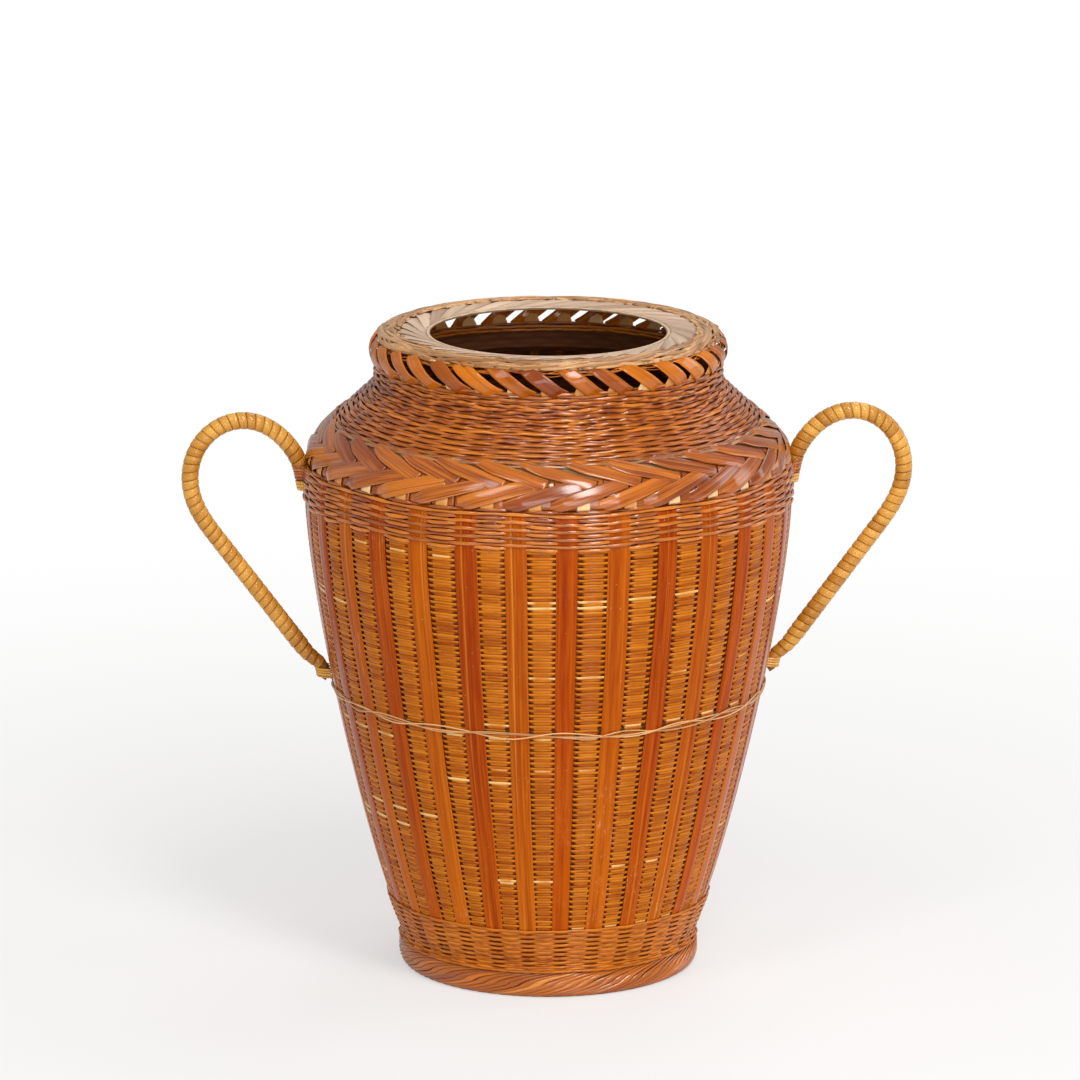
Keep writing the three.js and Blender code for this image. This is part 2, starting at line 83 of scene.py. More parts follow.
class Kit:
    def __init__(self, tree):
        self.tree = tree
        tree.nodes.clear()

    def node(self, kind, settings=None, inputs=None, out=0):
        made = self.tree.nodes.new(kind)
        for key, value in (settings or {}).items():
            setattr(made, key, value)
        for key, value in (inputs or {}).items():
            if isinstance(value, Wire):
                self.tree.links.new(value.socket, made.inputs[key])
            else:
                made.inputs[key].default_value = value
        return Wire(self, made.outputs[out]) if out is not None else made

    def mix(self, factor, first, second):
        settings = {"data_type": "RGBA", "clamp_factor": True}
        return self.node("ShaderNodeMix", settings, {0: factor, 6: first, 7: second}, out=2)

    def blend(self, factor, first, second):
        return self.node("ShaderNodeMixShader", {}, {0: factor, 1: first, 2: second})

    def noise(self, vector, scale, detail=2.0, rough=0.5):
        inputs = {"Vector": vector, "Scale": scale, "Detail": detail, "Roughness": rough}
        return self.node("ShaderNodeTexNoise", {}, inputs)

    def grain(self, vector, stretch, detail=2.0, rough=0.5):    # noise with its own scale on each axis
        stretched = self.node("ShaderNodeVectorMath", {"operation": "MULTIPLY"}, {0: vector, 1: stretch})
        return self.noise(stretched, 1.0, detail, rough)


# what all bamboo finishes share: pattern scales in cells a metre, those named Across as shares of the finish's
# fibres, colours of scratches, specks and dust as on screen, and the height of the fibres in metres
bamboo = {
    "fibreAlong": 45.0, "streakAlong": 9.0, "streakAcross": 0.28, "streakTint": 1.3, "patches": 28.0,
    "paleLineAlong": 3.0, "paleLineAcross": 0.75, "darkLineAlong": 2.0, "darkLineAcross": 0.9,
    "darkLine": 0.72, "scratches": (700.0, 700.0, 110.0), "scratch": (222, 172, 120), "wornPlaces": 17.0,
    "specks": 900.0, "speck": (214, 178, 140), "dustGrain": 260.0, "dust": (152, 118, 80), "bump": 0.0004,
}


def splitBamboo(name, deep, pale, straw, rough=0.38, fibres=1400.0, fibreDepth=0.25, fibreTint=0.5,
                cloud=0.25, coat=0.0, coatRough=0.12, gloss=1.5, sheen=0.0, shine=0.1, lines=0.0, marks=0.0):
    material = bpy.data.materials.new(name)
    material.use_nodes = True
    kit = Kit(material.node_tree)
    along = kit.node("ShaderNodeUVMap", {"uv_map": "strand"})
    body = kit.node("ShaderNodeTexCoord", {}, out=3)
    tone = kit.node("ShaderNodeAttribute", {"attribute_name": "tone"}, out=2)
    dust = kit.node("ShaderNodeAttribute", {"attribute_name": "dust"}, out=2)

    fibre = kit.grain(along, (bamboo["fibreAlong"], fibres, 1.0), 3.0, 0.55)
    streak = kit.grain(along, (bamboo["streakAlong"], fibres * bamboo["streakAcross"], 1.0))
    patch = kit.noise(body, bamboo["patches"], 3.0, 0.55)
    level = tone + (fibre - 0.5) * fibreTint
    level = level + (streak - 0.5) * fibreTint * bamboo["streakTint"] + (patch - 0.5) * cloud
    colour = kit.mix(level.held(0.0, 1.0), fromScreen(*deep), fromScreen(*pale))
    colour = kit.mix(tone.held(1.05, 1.5), colour, fromScreen(*straw))    # tones over 1 are pale straw

    if lines:                                      # fine pale and dark lines along the split face
        fine = kit.grain(along, (bamboo["paleLineAlong"], fibres * bamboo["paleLineAcross"], 1.0))
        colour = kit.mix(fine.held(0.58, 0.66) * lines, colour, fromScreen(*straw))
        dark = kit.grain(along, (bamboo["darkLineAlong"], fibres * bamboo["darkLineAcross"], 1.0), rough=0.6)
        darker = fromScreen(*(bamboo["darkLine"] * part for part in deep))
        colour = kit.mix(dark.held(0.56, 0.66) * lines, colour, darker)
    if marks:                                      # scratches and pale specks
        scratch = kit.grain(body, bamboo["scratches"], 4.0, 0.75).held(0.54, 0.72)
        worn = kit.noise(body, bamboo["wornPlaces"]).held(0.52, 0.66)
        colour = kit.mix(scratch * worn * marks, colour, fromScreen(*bamboo["scratch"]))
        speck = kit.noise(body, bamboo["specks"], 1.0, 0.4).held(0.76, 0.82)
        colour = kit.mix(speck * marks, colour, fromScreen(*bamboo["speck"]))

    grey = kit.noise(body, bamboo["dustGrain"], 4.0, 0.65).held(0.25, 0.65)
    dusted = (dust * (grey + 0.25)).held(0.1, 0.9)
    colour = kit.mix(dusted, colour, fromScreen(*bamboo["dust"]))
    relief = {"Strength": fibreDepth, "Distance": bamboo["bump"], "Height": fibre * 0.6 + streak * 0.4}
    if sheen:                                      # more gloss where the face turns away
        coat = kit.node("ShaderNodeLayerWeight", {}, {"Blend": 0.5}, out=1).held(0.45, 0.92) * sheen + coat
    shader = kit.node("ShaderNodeBsdfPrincipled", {}, {
        "Base Color": colour,
        "Roughness": (patch - 0.5) * 0.22 + (fibre - 0.5) * 0.1 + dusted * 0.4 + rough,
        "Specular IOR Level": shine,
        "Normal": kit.node("ShaderNodeBump", {}, relief),
        "Coat Weight": coat,
        "Coat Roughness": coatRough,
        "Coat IOR": gloss,
    })
    kit.node("ShaderNodeOutputMaterial", {}, {"Surface": shader}, out=None)
    return material


# for each finish: its deep, pale and straw colours as on screen, and what sets it apart
slatFace = dict(fibres=2600.0, fibreTint=0.9, marks=0.5, shine=0.05, coat=0.07, coatRough=0.25, sheen=0.9)
finishPlans = {
    "slatDark": ((142, 42, 0), (190, 86, 0), (218, 140, 46), dict(slatFace, lines=0.36)),
    "slatLight": ((158, 62, 0), (202, 104, 8), (226, 154, 62), dict(slatFace, lines=0.4)),
    "weft": ((156, 68, 2), (208, 122, 24), (238, 194, 122),
             dict(fibres=1500.0, cloud=0.35, coat=0.15, shine=0.06, sheen=0.4)),
    "strand": ((138, 58, 0), (212, 120, 24), (232, 172, 96),
               dict(rough=0.32, fibres=1300.0, cloud=0.4, coat=0.85, gloss=1.65)),
    "lowStrand": ((146, 62, 0), (216, 126, 28), (236, 180, 104),
                  dict(rough=0.36, fibres=1300.0, cloud=0.4, coat=0.45)),
    "braid": ((130, 50, 0), (202, 110, 16), (228, 166, 88),
              dict(rough=0.32, fibres=1900.0, fibreDepth=0.7, fibreTint=1.3, lines=0.4, coat=0.9,
                   coatRough=0.17, gloss=1.62)),
    "rimStrip": ((132, 52, 0), (208, 114, 6), (234, 174, 86),
                 dict(rough=0.3, fibres=1700.0, fibreDepth=0.4, lines=0.3, coat=0.6, coatRough=0.13,
                      gloss=1.6)),
    # painted sheen: the pale, pinkish rim-top colours stand for the white reflection seen on the rim top at a
    # grazing view
    "rimTop": ((174, 140, 112), (230, 198, 168), (242, 218, 194),
               dict(rough=0.34, fibres=1700.0, fibreDepth=0.35, fibreTint=0.8, coat=0.4, coatRough=0.3)),
    # partly the edge strands' own colour, partly painted sheen: paler and pinker than the orange front, like
    # the sheen on the rim's sides
    "rimEdge": ((154, 98, 50), (224, 170, 112), (242, 210, 166),
                dict(rough=0.32, fibres=1500.0, fibreDepth=0.35, fibreTint=0.8, coat=0.6)),
    "stain": ((84, 46, 26), (124, 72, 42), (136, 84, 48), dict(rough=0.5, fibres=900.0)),
    "stake": ((140, 66, 12), (216, 152, 84), (240, 204, 152), dict(rough=0.42, fibres=1500.0)),
    "cane": ((172, 108, 24), (230, 170, 76), (246, 214, 160),
             dict(rough=0.32, fibres=900.0, cloud=0.4, coat=0.6)),
    "caneRod": ((110, 62, 18), (176, 118, 52), (210, 160, 96), dict(rough=0.45, fibres=900.0)),
}
finishes = {name: splitBamboo(name, *colours, **plan) for name, (*colours, plan) in finishPlans.items()}
print("finishes")


# surfaces that the strands lie on, and the strands themselves

def curvePoints(a, b, c, d, count):
    t = np.linspace(0, 1, count)[:, None]
    a, b, c, d = (np.array(p, float) for p in (a, b, c, d))
    return (1 - t) ** 3 * a + 3 * (1 - t) ** 2 * t * b + 3 * (1 - t) * t ** 2 * c + t ** 3 * d


def eased(points, rounds, count=240):              # resamples a profile and rounds its corners
    points = np.array(points, float)
    step = np.concatenate([[0], np.cumsum(np.hypot(*np.diff(points, axis=0).T))])
    even = np.linspace(0, step[-1], count)
    points = np.stack([np.interp(even, step, points[:, 0]), np.interp(even, step, points[:, 1])], axis=1)
    for _ in range(rounds):
        points[1:-1] = points[1:-1] * 0.5 + (points[:-2] + points[2:]) * 0.25
    return points


class Skin:                                        # a turned surface, from (radius, height) in mm
    def __init__(self, profile):
        points = np.array(profile, float) * mm
        self.run = np.concatenate([[0.0], np.cumsum(np.hypot(*np.diff(points, axis=0).T))])
        self.radius, self.height = points.T
        lean = np.gradient(points, self.run, axis=0)
        size = np.hypot(*lean.T)
        self.outRadius, self.outHeight = lean[:, 1] / size, -lean[:, 0] / size

    def runAt(self, height):
        return np.interp(np.asarray(height) * mm, self.height, self.run)

    def radiusAt(self, run):
        return np.interp(run, self.run, self.radius)

    def lay(self, angle, run, out):
        radius = self.radiusAt(run) + out * np.interp(run, self.run, self.outRadius)
        height = np.interp(run, self.run, self.height) + out * np.interp(run, self.run, self.outHeight)
        return radius * np.cos(angle), radius * np.sin(angle), height

    def ribbon(self, s, angle, run, out, across, lift):    # angle, run and out are functions of s
        step = 1e-3
        ahead, behind = s + step, s - step
        radius = self.radiusAt(run(s))
        sideways = (angle(ahead) - angle(behind)) * radius
        upward = run(ahead) - run(behind)
        size = np.hypot(sideways, upward)
        place = angle(s) - across * (upward / size) / radius
        return self.lay(place, run(s) + across * (sideways / size), out(s) + lift)


def steady(first, change):                         # a value that changes evenly along a strand
    def value(s):
        return first + change * s
    return value


def section(t, width, thickness, squareness=1.0):  # across and out of a strand's closed section
    c, s = np.cos(turn * t), np.sin(turn * t)
    across = np.sign(c) * np.abs(c) ** squareness * width / 2
    lift = np.sign(s) * np.abs(s) ** min(squareness * 1.3, 1.0) * thickness / 2
    return across, lift


def smooth(x, low, high):
    x = np.clip((x - low) / (high - low), 0, 1)
    return x * x * (3 - 2 * x)


def taper(s, share):                               # closes a strand at both ends
    return np.sqrt(np.clip(np.minimum(s, 1 - s) / share, 0, 1))


def cut(s):                                        # a flat cut end: full width, no thickness
    return np.where((s < 1e-6) | (s > 1 - 1e-6), 0.0, 1.0)


class Wander:                                      # a smooth, closed wander for each strand
    def __init__(self, seed, count, waves=(2, 3, 5, 9)):
        draws = np.random.default_rng(seed)
        self.waves = waves
        self.phase = draws.uniform(0, turn, (count, len(waves)))
        self.size = draws.normal(0, 1, (count, len(waves))) / np.sqrt(len(waves))

    def at(self, which, angle):
        return sum(self.size[which, j] * np.sin(wave * angle + self.phase[which, j])
                   for j, wave in enumerate(self.waves))


counts = {}
weld = 2e-6                                        # points of a strand closer than this are joined, in metres


# strands: one grid each, s along and t round it from 0 to 1, placed by shape(which, s, t);
# length and girth are the size of its pattern in metres
def strands(name, shape, finish, nodes, count=1, steps=8, sides=6, length=0.1, girth=0.005,
            tone=0.5):
    patch = bmesh.new()
    patch.loops.layers.uv.new("strand")
    bmesh.ops.create_grid(patch, x_segments=steps, y_segments=sides, size=0.5, calc_uvs=True)
    pattern = bpy.data.meshes.new(name + "Pattern")
    patch.to_mesh(pattern)
    patch.free()
    many = bmesh.new()
    for _ in range(count):
        many.from_mesh(pattern)
    mesh = bpy.data.meshes.new(name)
    many.to_mesh(mesh)
    many.free()

    own = np.empty(len(pattern.vertices) * 3, np.float32)
    pattern.vertices.foreach_get("co", own)
    own = own.reshape(-1, 3).astype(float) + 0.5
    which = np.repeat(np.arange(count), len(own))
    s, t = np.tile(own[:, 0], count), np.tile(own[:, 1], count)
    placed = shape(which, s, t)                    # x, y, z and, if it gives them, tone and dust
    mesh.vertices.foreach_set("co", np.stack(placed[:3], axis=1).astype(np.float32).ravel())

    layer = mesh.uv_layers["strand"].data
    uv = np.empty(len(layer) * 2, np.float32)
    layer.foreach_get("uv", uv)
    uv = uv.reshape(-1, 2)
    strand = np.repeat(np.arange(count), len(pattern.loops))
    apart = {"along": 0.37, "across": 0.0113}      # each strand has its own part of the pattern
    uv[:, 0] = uv[:, 0].astype(float) * length + strand * apart["along"]
    uv[:, 1] = uv[:, 1] * girth + strand * apart["across"]
    layer.foreach_set("uv", uv.ravel())

    shade = placed[3] if len(placed) > 3 else np.broadcast_to(tone, count)[which]
    dirt = placed[4] if len(placed) > 4 else 0.0
    for label, values in (("tone", shade), ("dust", dirt)):
        values = np.asarray(values + np.zeros(len(which)), np.float32)
        mesh.attributes.new(label, "FLOAT", "POINT").data.foreach_set("value", values)

    whole = bmesh.new()
    whole.from_mesh(mesh)
    bmesh.ops.remove_doubles(whole, verts=whole.verts, dist=weld)
    bmesh.ops.recalc_face_normals(whole, faces=whole.faces)
    for face in whole.faces:
        face.smooth = True
    whole.to_mesh(mesh)
    whole.free()
    bpy.data.meshes.remove(pattern)

    piece = bpy.data.objects.new(name, mesh)
    bpy.context.scene.collection.objects.link(piece)
    mesh.materials.append(finishes[finish])
    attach(piece, "root")
    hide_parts(*nodes)
    counts[name] = sum(len(p.vertices) - 2 for p in mesh.polygons)


chance = np.random.default_rng(11)

sideCurve = curvePoints((67.7, 15.5), (85.8, 53.9), (121.8, 220.1), (110, 240), 400)
wallSkin = Skin(np.concatenate([[(69.0, 11.8), (68.0, 13.6)], sideCurve]))
neckSkin = Skin(eased([(105.6, 251.5), (80.3, 275.5), (80.3, 286.6)], 260))
slatCount = 30
slatPitch = turn / slatCount


# camera

camera = {"distance": 3.2, "height": 0.964, "pitch": 13.43, "azimuth": 4.5, "sideStep": 0.0038, "lens": 237.4,
          "sensor": 36.0, "clipEnd": 30.0}
lens = bpy.data.cameras.new("camera")
lens.lens, lens.sensor_width, lens.clip_end = camera["lens"], camera["sensor"], camera["clipEnd"]
eye = bpy.data.objects.new("camera", lens)
bpy.context.scene.collection.objects.link(eye)
azimuth = math.radians(camera["azimuth"])
eye.location = (
    -camera["distance"] * math.sin(azimuth) - camera["sideStep"] * math.cos(azimuth),
    -camera["distance"] * math.cos(azimuth) + camera["sideStep"] * math.sin(azimuth),
    camera["height"],
)
eye.rotation_euler = (math.radians(90 - camera["pitch"]), 0.0, -azimuth)
bpy.context.scene.camera = eye
print("camera")


# stained lining: the inside of the wall and neck, ridged like the weave that it backs

lining = {"back": 2.1, "inner": 2.7, "innerShare": 0.8, "ridge": 0.35, "pitch": 2.6}
liningTop = [(108.4, 241.5), (100.5, 256.5), (97.5, 259.5), (80.3, 275.5), (80.3, 285.8)]
liningSkin = Skin(np.concatenate([sideCurve, liningTop]))


def liningShape(which, s, t):
    angle = turn * s
    share = lining["innerShare"]
    facing = t <= share                            # of the section's points, those on the inner face
    run = np.where(facing, t / share, (1 - t) / (1 - share)) * liningSkin.run[-1]
    row = run / (lining["pitch"] * mm)
    bumps = 0.65 + 0.35 * np.cos(slatCount * angle + math.pi * np.floor(row))
    ridge = np.abs(np.sin(math.pi * row)) * bumps
    out = np.where(facing, -lining["inner"] + (1 - ridge) * lining["ridge"], -lining["back"]) * mm
    # painted shade: the tone runs darker in the hollows between the ridges and lighter on their crests
    return (*liningSkin.lay(angle, run, out), 0.3 + 0.4 * ridge)


strands("lining", liningShape, "stain", ("body_wall", "neck_weave"), steps=120, sides=560,
        length=0.6, girth=0.3)
print("lining")


# panels: fine weft rows behind the slats, full rows and tucked rows in turn

weft = {"first": 33.2, "pitch": 2.6, "pairs": 73, "full": 1.5, "tucked": 1.36, "thickness": 0.42,
        "face": -0.45, "drop": 1.1, "bow": 0.12, "stray": 0.1, "strawRuns": 26}
weftPlaces = {                                     # in degrees from the middle of a panel
    False: [-6, -4.1, -3.1, -1.2, 1.2, 3.1, 4.1, 6],
    True: [-6, -2.75, -2.1, 0, 2.1, 2.75, 6],
}


def panelTones(rows):                              # a tone for each row in each panel, with runs of straw
    tones = chance.normal(0.5, 0.08, (rows, 1)) + chance.normal(0.0, 0.13, (rows, slatCount))
    for _ in range(weft["strawRuns"]):
        row, first, length = chance.integers(rows), chance.integers(slatCount), chance.integers(1, 5)
        tones[row, (first + np.arange(length)) % slatCount] = chance.uniform(1.1, 1.45)
    return tones


def stepped(s, places):                            # shares a ring out over the panels, at these places
    cell = np.floor(s * slatCount + 1e-6)
    local = np.interp(s * slatCount - cell, np.linspace(0, 1, len(places)), places)
    return slatPitch * cell + np.radians(local), local, cell.astype(int) % slatCount


weftTone = {tucked: panelTones(weft["pairs"]) for tucked in (False, True)}
weftWander = Wander(3, 2 * weft["pairs"], (2, 5, 11, 23))


def weftShape(tucked):
    def shape(which, s, t):
        angle, local, cell = stepped(s, weftPlaces[tucked])
        reach = np.abs(local)
        tall = weft["tucked"] if tucked else weft["full"] - 0.4 * smooth(reach, 1.6, 2.6)
        across, lift = section(t + 0.25, tall * mm, weft["thickness"] * mm, 0.62)
        height = weft["first"] + weft["pitch"] * (which + 0.5 * tucked)
        stray = weft["stray"] * weftWander.at(which + tucked * weft["pairs"], angle)
        run = wallSkin.runAt(height) + stray * mm
        behind = smooth(reach, 2.1, 2.75) if tucked else smooth(reach, 3.1, 4.1)
        drop = weft["drop"] * behind + 0.06 * tucked
        bow = weft["bow"] * np.cos(np.radians(reach * 18))
        out = (weft["face"] + bow - drop) * mm
        # painted shade: rows where they drop behind the stakes are darkened
        shade = weftTone[tucked][which, cell] + 0.08 * weftWander.at(which, angle * 5) - 0.6 * (drop > 0.3)
        if not tucked:
            # painted highlight: the full rows' ends are lightened
            shade = shade + 0.3 * smooth(reach, 2.0, 2.6)
        return (*wallSkin.lay(angle, run + across, out + lift), shade, 0.12 * smooth(reach, 1.5, 3.0))
    return shape


for label, tucked in (("weftRows", False), ("tuckedRows", True)):
    strands(label, weftShape(tucked), "weft", ("body_wall",), count=weft["pairs"],
            steps=slatCount * (len(weftPlaces[tucked]) - 1), length=0.62, girth=0.0036)

panelStake = {"width": 1.0, "thickness": 0.5, "out": -1.45, "place": 2.75, "low": 31.0, "high": 223.0}


def panelStakeShape(which, s, t):
    across, lift = section(t, panelStake["width"] * mm, panelStake["thickness"] * mm * cut(s), 0.7)
    low, high = wallSkin.runAt(panelStake["low"]), wallSkin.runAt(panelStake["high"])
    run = low + s * (high - low)
    angle = slatPitch * (which // 2) + np.radians(panelStake["place"]) * np.where(which % 2, 1, -1)
    return wallSkin.lay(angle + across / wallSkin.radiusAt(run), run, panelStake["out"] * mm + lift)


# painted shade: the stakes take the dark stain so that the holes beside the slats read dark
strands("panelStakes", panelStakeShape, "stain", ("body_wall",), count=2 * slatCount, steps=50,
        length=0.2, girth=0.004, tone=chance.uniform(0.1, 1.3, 2 * slatCount))
print("panels")


# slats, dark and light ones in turn

slats = {"low": 29.0, "high": 238.5, "foot": 7.8, "top": 10.5, "thickness": 0.8, "crown": 0.14, "stray": 0.25,
         "sink": 0.05}
slatWidth = chance.normal(1.0, 0.03, slatCount)
slatShift = chance.normal(0.0, 0.3, slatCount)
slatTone = {first: np.clip(chance.normal(0.46, 0.12, slatCount // 2), 0.2, 0.7) for first in (0, 1)}
slatWander = Wander(5, slatCount, (1, 2, 3))


def slatShape(first):
    def shape(which, s, t):
        own = 2 * which + first
        run = wallSkin.runAt(slats["low"] + (slats["high"] - slats["low"]) * s)
        width = (slats["foot"] + (slats["top"] - slats["foot"]) * s) * slatWidth[own] * mm
        across, lift = section(t, width, slats["thickness"] * mm * cut(s), 0.42)
        lift = lift + slats["crown"] * mm * (1 - (2 * across / width) ** 2) * (lift > 0)
        stray = (slatShift[own] + slats["stray"] * slatWander.at(own, s * turn * 0.8)) * mm
        angle = slatPitch * (own + 0.5) + (across + stray) / wallSkin.radiusAt(run)
        out = -slats["thickness"] / 2 * mm + lift - slats["sink"] * mm
        # painted light: each slat's tone is raised towards its foot, for light thrown up from the floor
        return (*wallSkin.lay(angle, run, out), slatTone[first][which] + 0.3 * (1 - smooth(s, 0.0, 0.6)))
    return shape


for label, first in (("Dark", 0), ("Light", 1)):
    nodes = [f"slat_{2 * i + first + 1:02d}" for i in range(slatCount // 2)]
    strands(f"slats{label}", slatShape(first), f"slat{label}", nodes,
            count=slatCount // 2, steps=90, sides=14, length=0.225, girth=0.021)
print("slats")


# bands and neck: round strands over and under the slats and the stakes between them

def rowsShape(skin, runs, plan, seed, tones):
    wander = Wander(seed, len(runs), (3, 7, 13, 29))
    sway = Wander(seed + 1, 1, (2, 5, 9))
    flareEnd, lapEnd, dustEnd = runs[0] + 7 * mm, runs[0] + 4 * mm, runs[0] + 5 * mm

    def shape(which, s, t):
        angle = turn * s
        phase = plan["weave"] * angle + math.pi * ((which + plan["flip"]) % 2)
        phase = phase + plan.get("drift", 0.0) * wander.at(which, angle * 2)
        side = np.tanh(plan["snap"] * np.cos(phase)) / math.tanh(plan["snap"])    # 1 over a stake, -1 under
        tall = plan["tall"] * (1 + plan["swell"] * side + 0.07 * wander.at(which, angle * 3 + 1))
        across, lift = section(t + 0.25, tall * mm, plan["thick"] * mm)
        under = plan["under"] + plan.get("raised", 0.0) * smooth(np.cos(slatCount * angle), -0.4, 0.5)
        middle, reach = (plan["over"] + under) / 2, (plan["over"] - under) / 2
        out = (middle + reach * side + 0.05 * wander.at(which, angle)) * mm
        stray = plan["stray"] * wander.at(which, angle * 2) + plan["sway"] * sway.at(0 * which, angle)
        run = runs[which] + stray * mm
        out = out + plan.get("flare", 0.0) * mm * (1 - smooth(run, runs[0], flareEnd))
        out = out + plan.get("lap", 0.0) * mm * (1 - smooth(run, runs[0], lapEnd))
        # painted shade: a row's tone drops where it passes under a slat or stake
        shade = tones[which] + 0.17 * wander.at(which, angle * 3) - plan["shade"] * (1 - side)
        dirt = plan["dust"] * np.clip(1 - side, 0, 1)
        dirt = dirt + plan.get("dustLow", 0.0) * (1 - smooth(run, runs[0], dustEnd))
        return (*skin.lay(angle, run + across, out + lift), shade, dirt)
    return shape


def tonesOf(count, middle=0.5, spread=0.16, straw=0.04):
    tones = np.clip(chance.normal(middle, spread, count), 0.05, 0.95)
    tones[chance.random(count) < straw] = 1.2
    return tones


shoulder = {
    "first": 222.0, "pitch": 1.72, "rows": 11, "tall": 1.52, "swell": 0.06, "thick": 1.0, "weave": slatCount,
    "over": 0.62, "under": -0.9, "raised": 0.8, "snap": 2.2, "flip": 0, "stray": 0.2, "sway": 0.45,
    "shade": 0.04, "dust": 0.1, "tones": (0.55, 0.14, 0.08),
}
lower = {
    "first": 12.3, "pitch": 1.26, "rows": 19, "tall": 1.36, "swell": 0.08, "thick": 0.9, "weave": slatCount,
    "over": 0.62, "under": -0.75, "raised": 1.0, "snap": 1.6, "flip": 1, "stray": 0.08, "sway": 0.25,
    "shade": 0.04, "dust": 0.06, "flare": 0.35, "tones": (0.62, 0.06, 0.0),
}
neck = {
    "first": 8.7, "pitch": 1.46, "rows": 26, "tall": 1.62, "swell": 0.16, "thick": 1.15, "weave": 22,
    "over": -0.2, "under": -1.35, "snap": 0.9, "drift": 0.45, "flip": 0, "stray": 0.24, "sway": 0.3,
    "shade": 0.02, "dust": 0.22, "lap": 1.0, "dustLow": 0.4, "tones": (0.45, 0.1, 0.0),
}

for label, plan, skin, start, finish, sides, node in (
    ("shoulderRows", shoulder, wallSkin, wallSkin.runAt(shoulder["first"]), "strand", 8, "shoulder_band"),
    ("lowerRows", lower, wallSkin, wallSkin.runAt(lower["first"]), "lowStrand", 8, "lower_band"),
    ("neckRows", neck, neckSkin, neck["first"] * mm, "strand", 6, "neck_weave"),
):
    runs = np.arange(plan["rows"]) * plan["pitch"] * mm + start
    shape = rowsShape(skin, runs, plan, 20 + plan["rows"], tonesOf(plan["rows"], *plan["tones"]))
    strands(label, shape, finish, (node,), count=plan["rows"], steps=12 * slatCount, sides=sides,
            length=0.62, girth=0.0046)

# the neck's last rows, as they show inside the mouth
inside = {
    "radius": 77.6, "low": 277.0, "high": 290.0, "first": 6.3, "pitch": 1.5, "rows": 2, "tall": 1.5,
    "swell": 0.08, "thick": 1.0, "weave": 22, "over": 0.3, "under": -0.5, "snap": 1.2, "flip": 0,
    "stray": 0.1, "sway": 0.2, "shade": 0.05, "dust": 0.2,
}
insideSkin = Skin([(inside["radius"], inside["low"]), (inside["radius"], inside["high"])])
insideRuns = (inside["first"] + inside["pitch"] * np.arange(inside["rows"])) * mm
shape = rowsShape(insideSkin, insideRuns, inside, 15, tonesOf(inside["rows"], 0.9, 0.1))
strands("insideRows", shape, "strand", ("neck_weave",), count=inside["rows"], steps=240,
        length=0.48, girth=0.0046)


bandStake = {"thickness": 0.5, "squareness": 0.5}


def bandStakeShape(skin, low, high, width, out, places, tones, dirt=0.0, dusty=(0.0, 1.0)):
    def shape(which, s, t):
        run = low + (high - low) * s
        across, lift = section(t, width * mm, bandStake["thickness"] * mm * cut(s), bandStake["squareness"])
        angle = places[which] + across / skin.radiusAt(run)
        return (*skin.lay(angle, run, out * mm + lift), tones[which], dirt * smooth(s, *dusty))
    return shape


panelPlaces = slatPitch * np.arange(slatCount)
halfPlaces = slatPitch / 2 * np.arange(2 * slatCount)
neckPlaces = turn / 2 / neck["weave"] * np.arange(2 * neck["weave"])
for label, skin, low, high, width, out, places, node in (
    ("shoulderStakes", wallSkin, wallSkin.runAt(219.0), wallSkin.run[-1], 7.0, -0.45, panelPlaces,
     "shoulder_band"),
    ("lowerStakes", wallSkin, wallSkin.runAt(11.9), wallSkin.runAt(35.0), 6.9, -0.62, halfPlaces,
     "lower_band"),
    ("neckStakes", neckSkin, 0.0, neckSkin.run[-1] - 1.0 * mm, 4.0, -2.0, neckPlaces,
     "neck_weave"),
):
    shape = bandStakeShape(skin, low, high, width, out, places, chance.uniform(0.05, 0.45, len(places)))
    strands(label, shape, "strand", (node,), count=len(places), steps=24, sides=8,
            length=0.04, girth=0.012)
print("bands and neck")


# shoulder braid: strips that fall and strips that rise to the right, the right ends under the other hand

braid = {"count": 32, "width": 7.2, "thickness": 0.5, "crown": 0.3, "under": -1.1, "over": 1.75, "sink": 1.35}
braidPitch = turn / braid["count"]
braidHands = {
    "braidUpper": {"span": 22.0, "start": -np.radians(3.6), "first": 24.8, "climb": -12.6, "bend": 0.38,
                   "size": 1.0, "drawIn": 0.45, "stray": 0.25, "rise": 0.22, "deep": 0.0, "dust": 0.45},
    "braidLower": {"span": 20.6, "start": braidPitch / 2, "first": 0.9, "climb": 13.0, "bend": -0.1,
                   "size": 0.93, "drawIn": 0.0, "stray": 0.125, "rise": 0.3, "deep": 0.7, "dust": 0.15},
}
braidProfile = [(111.4, 238.6), (111.8, 240.3), (110.2, 246.2), (106.6, 251.9), (99.8, 257.3), (97.6, 259.4)]
braidSkin = Skin(eased(braidProfile, 120))


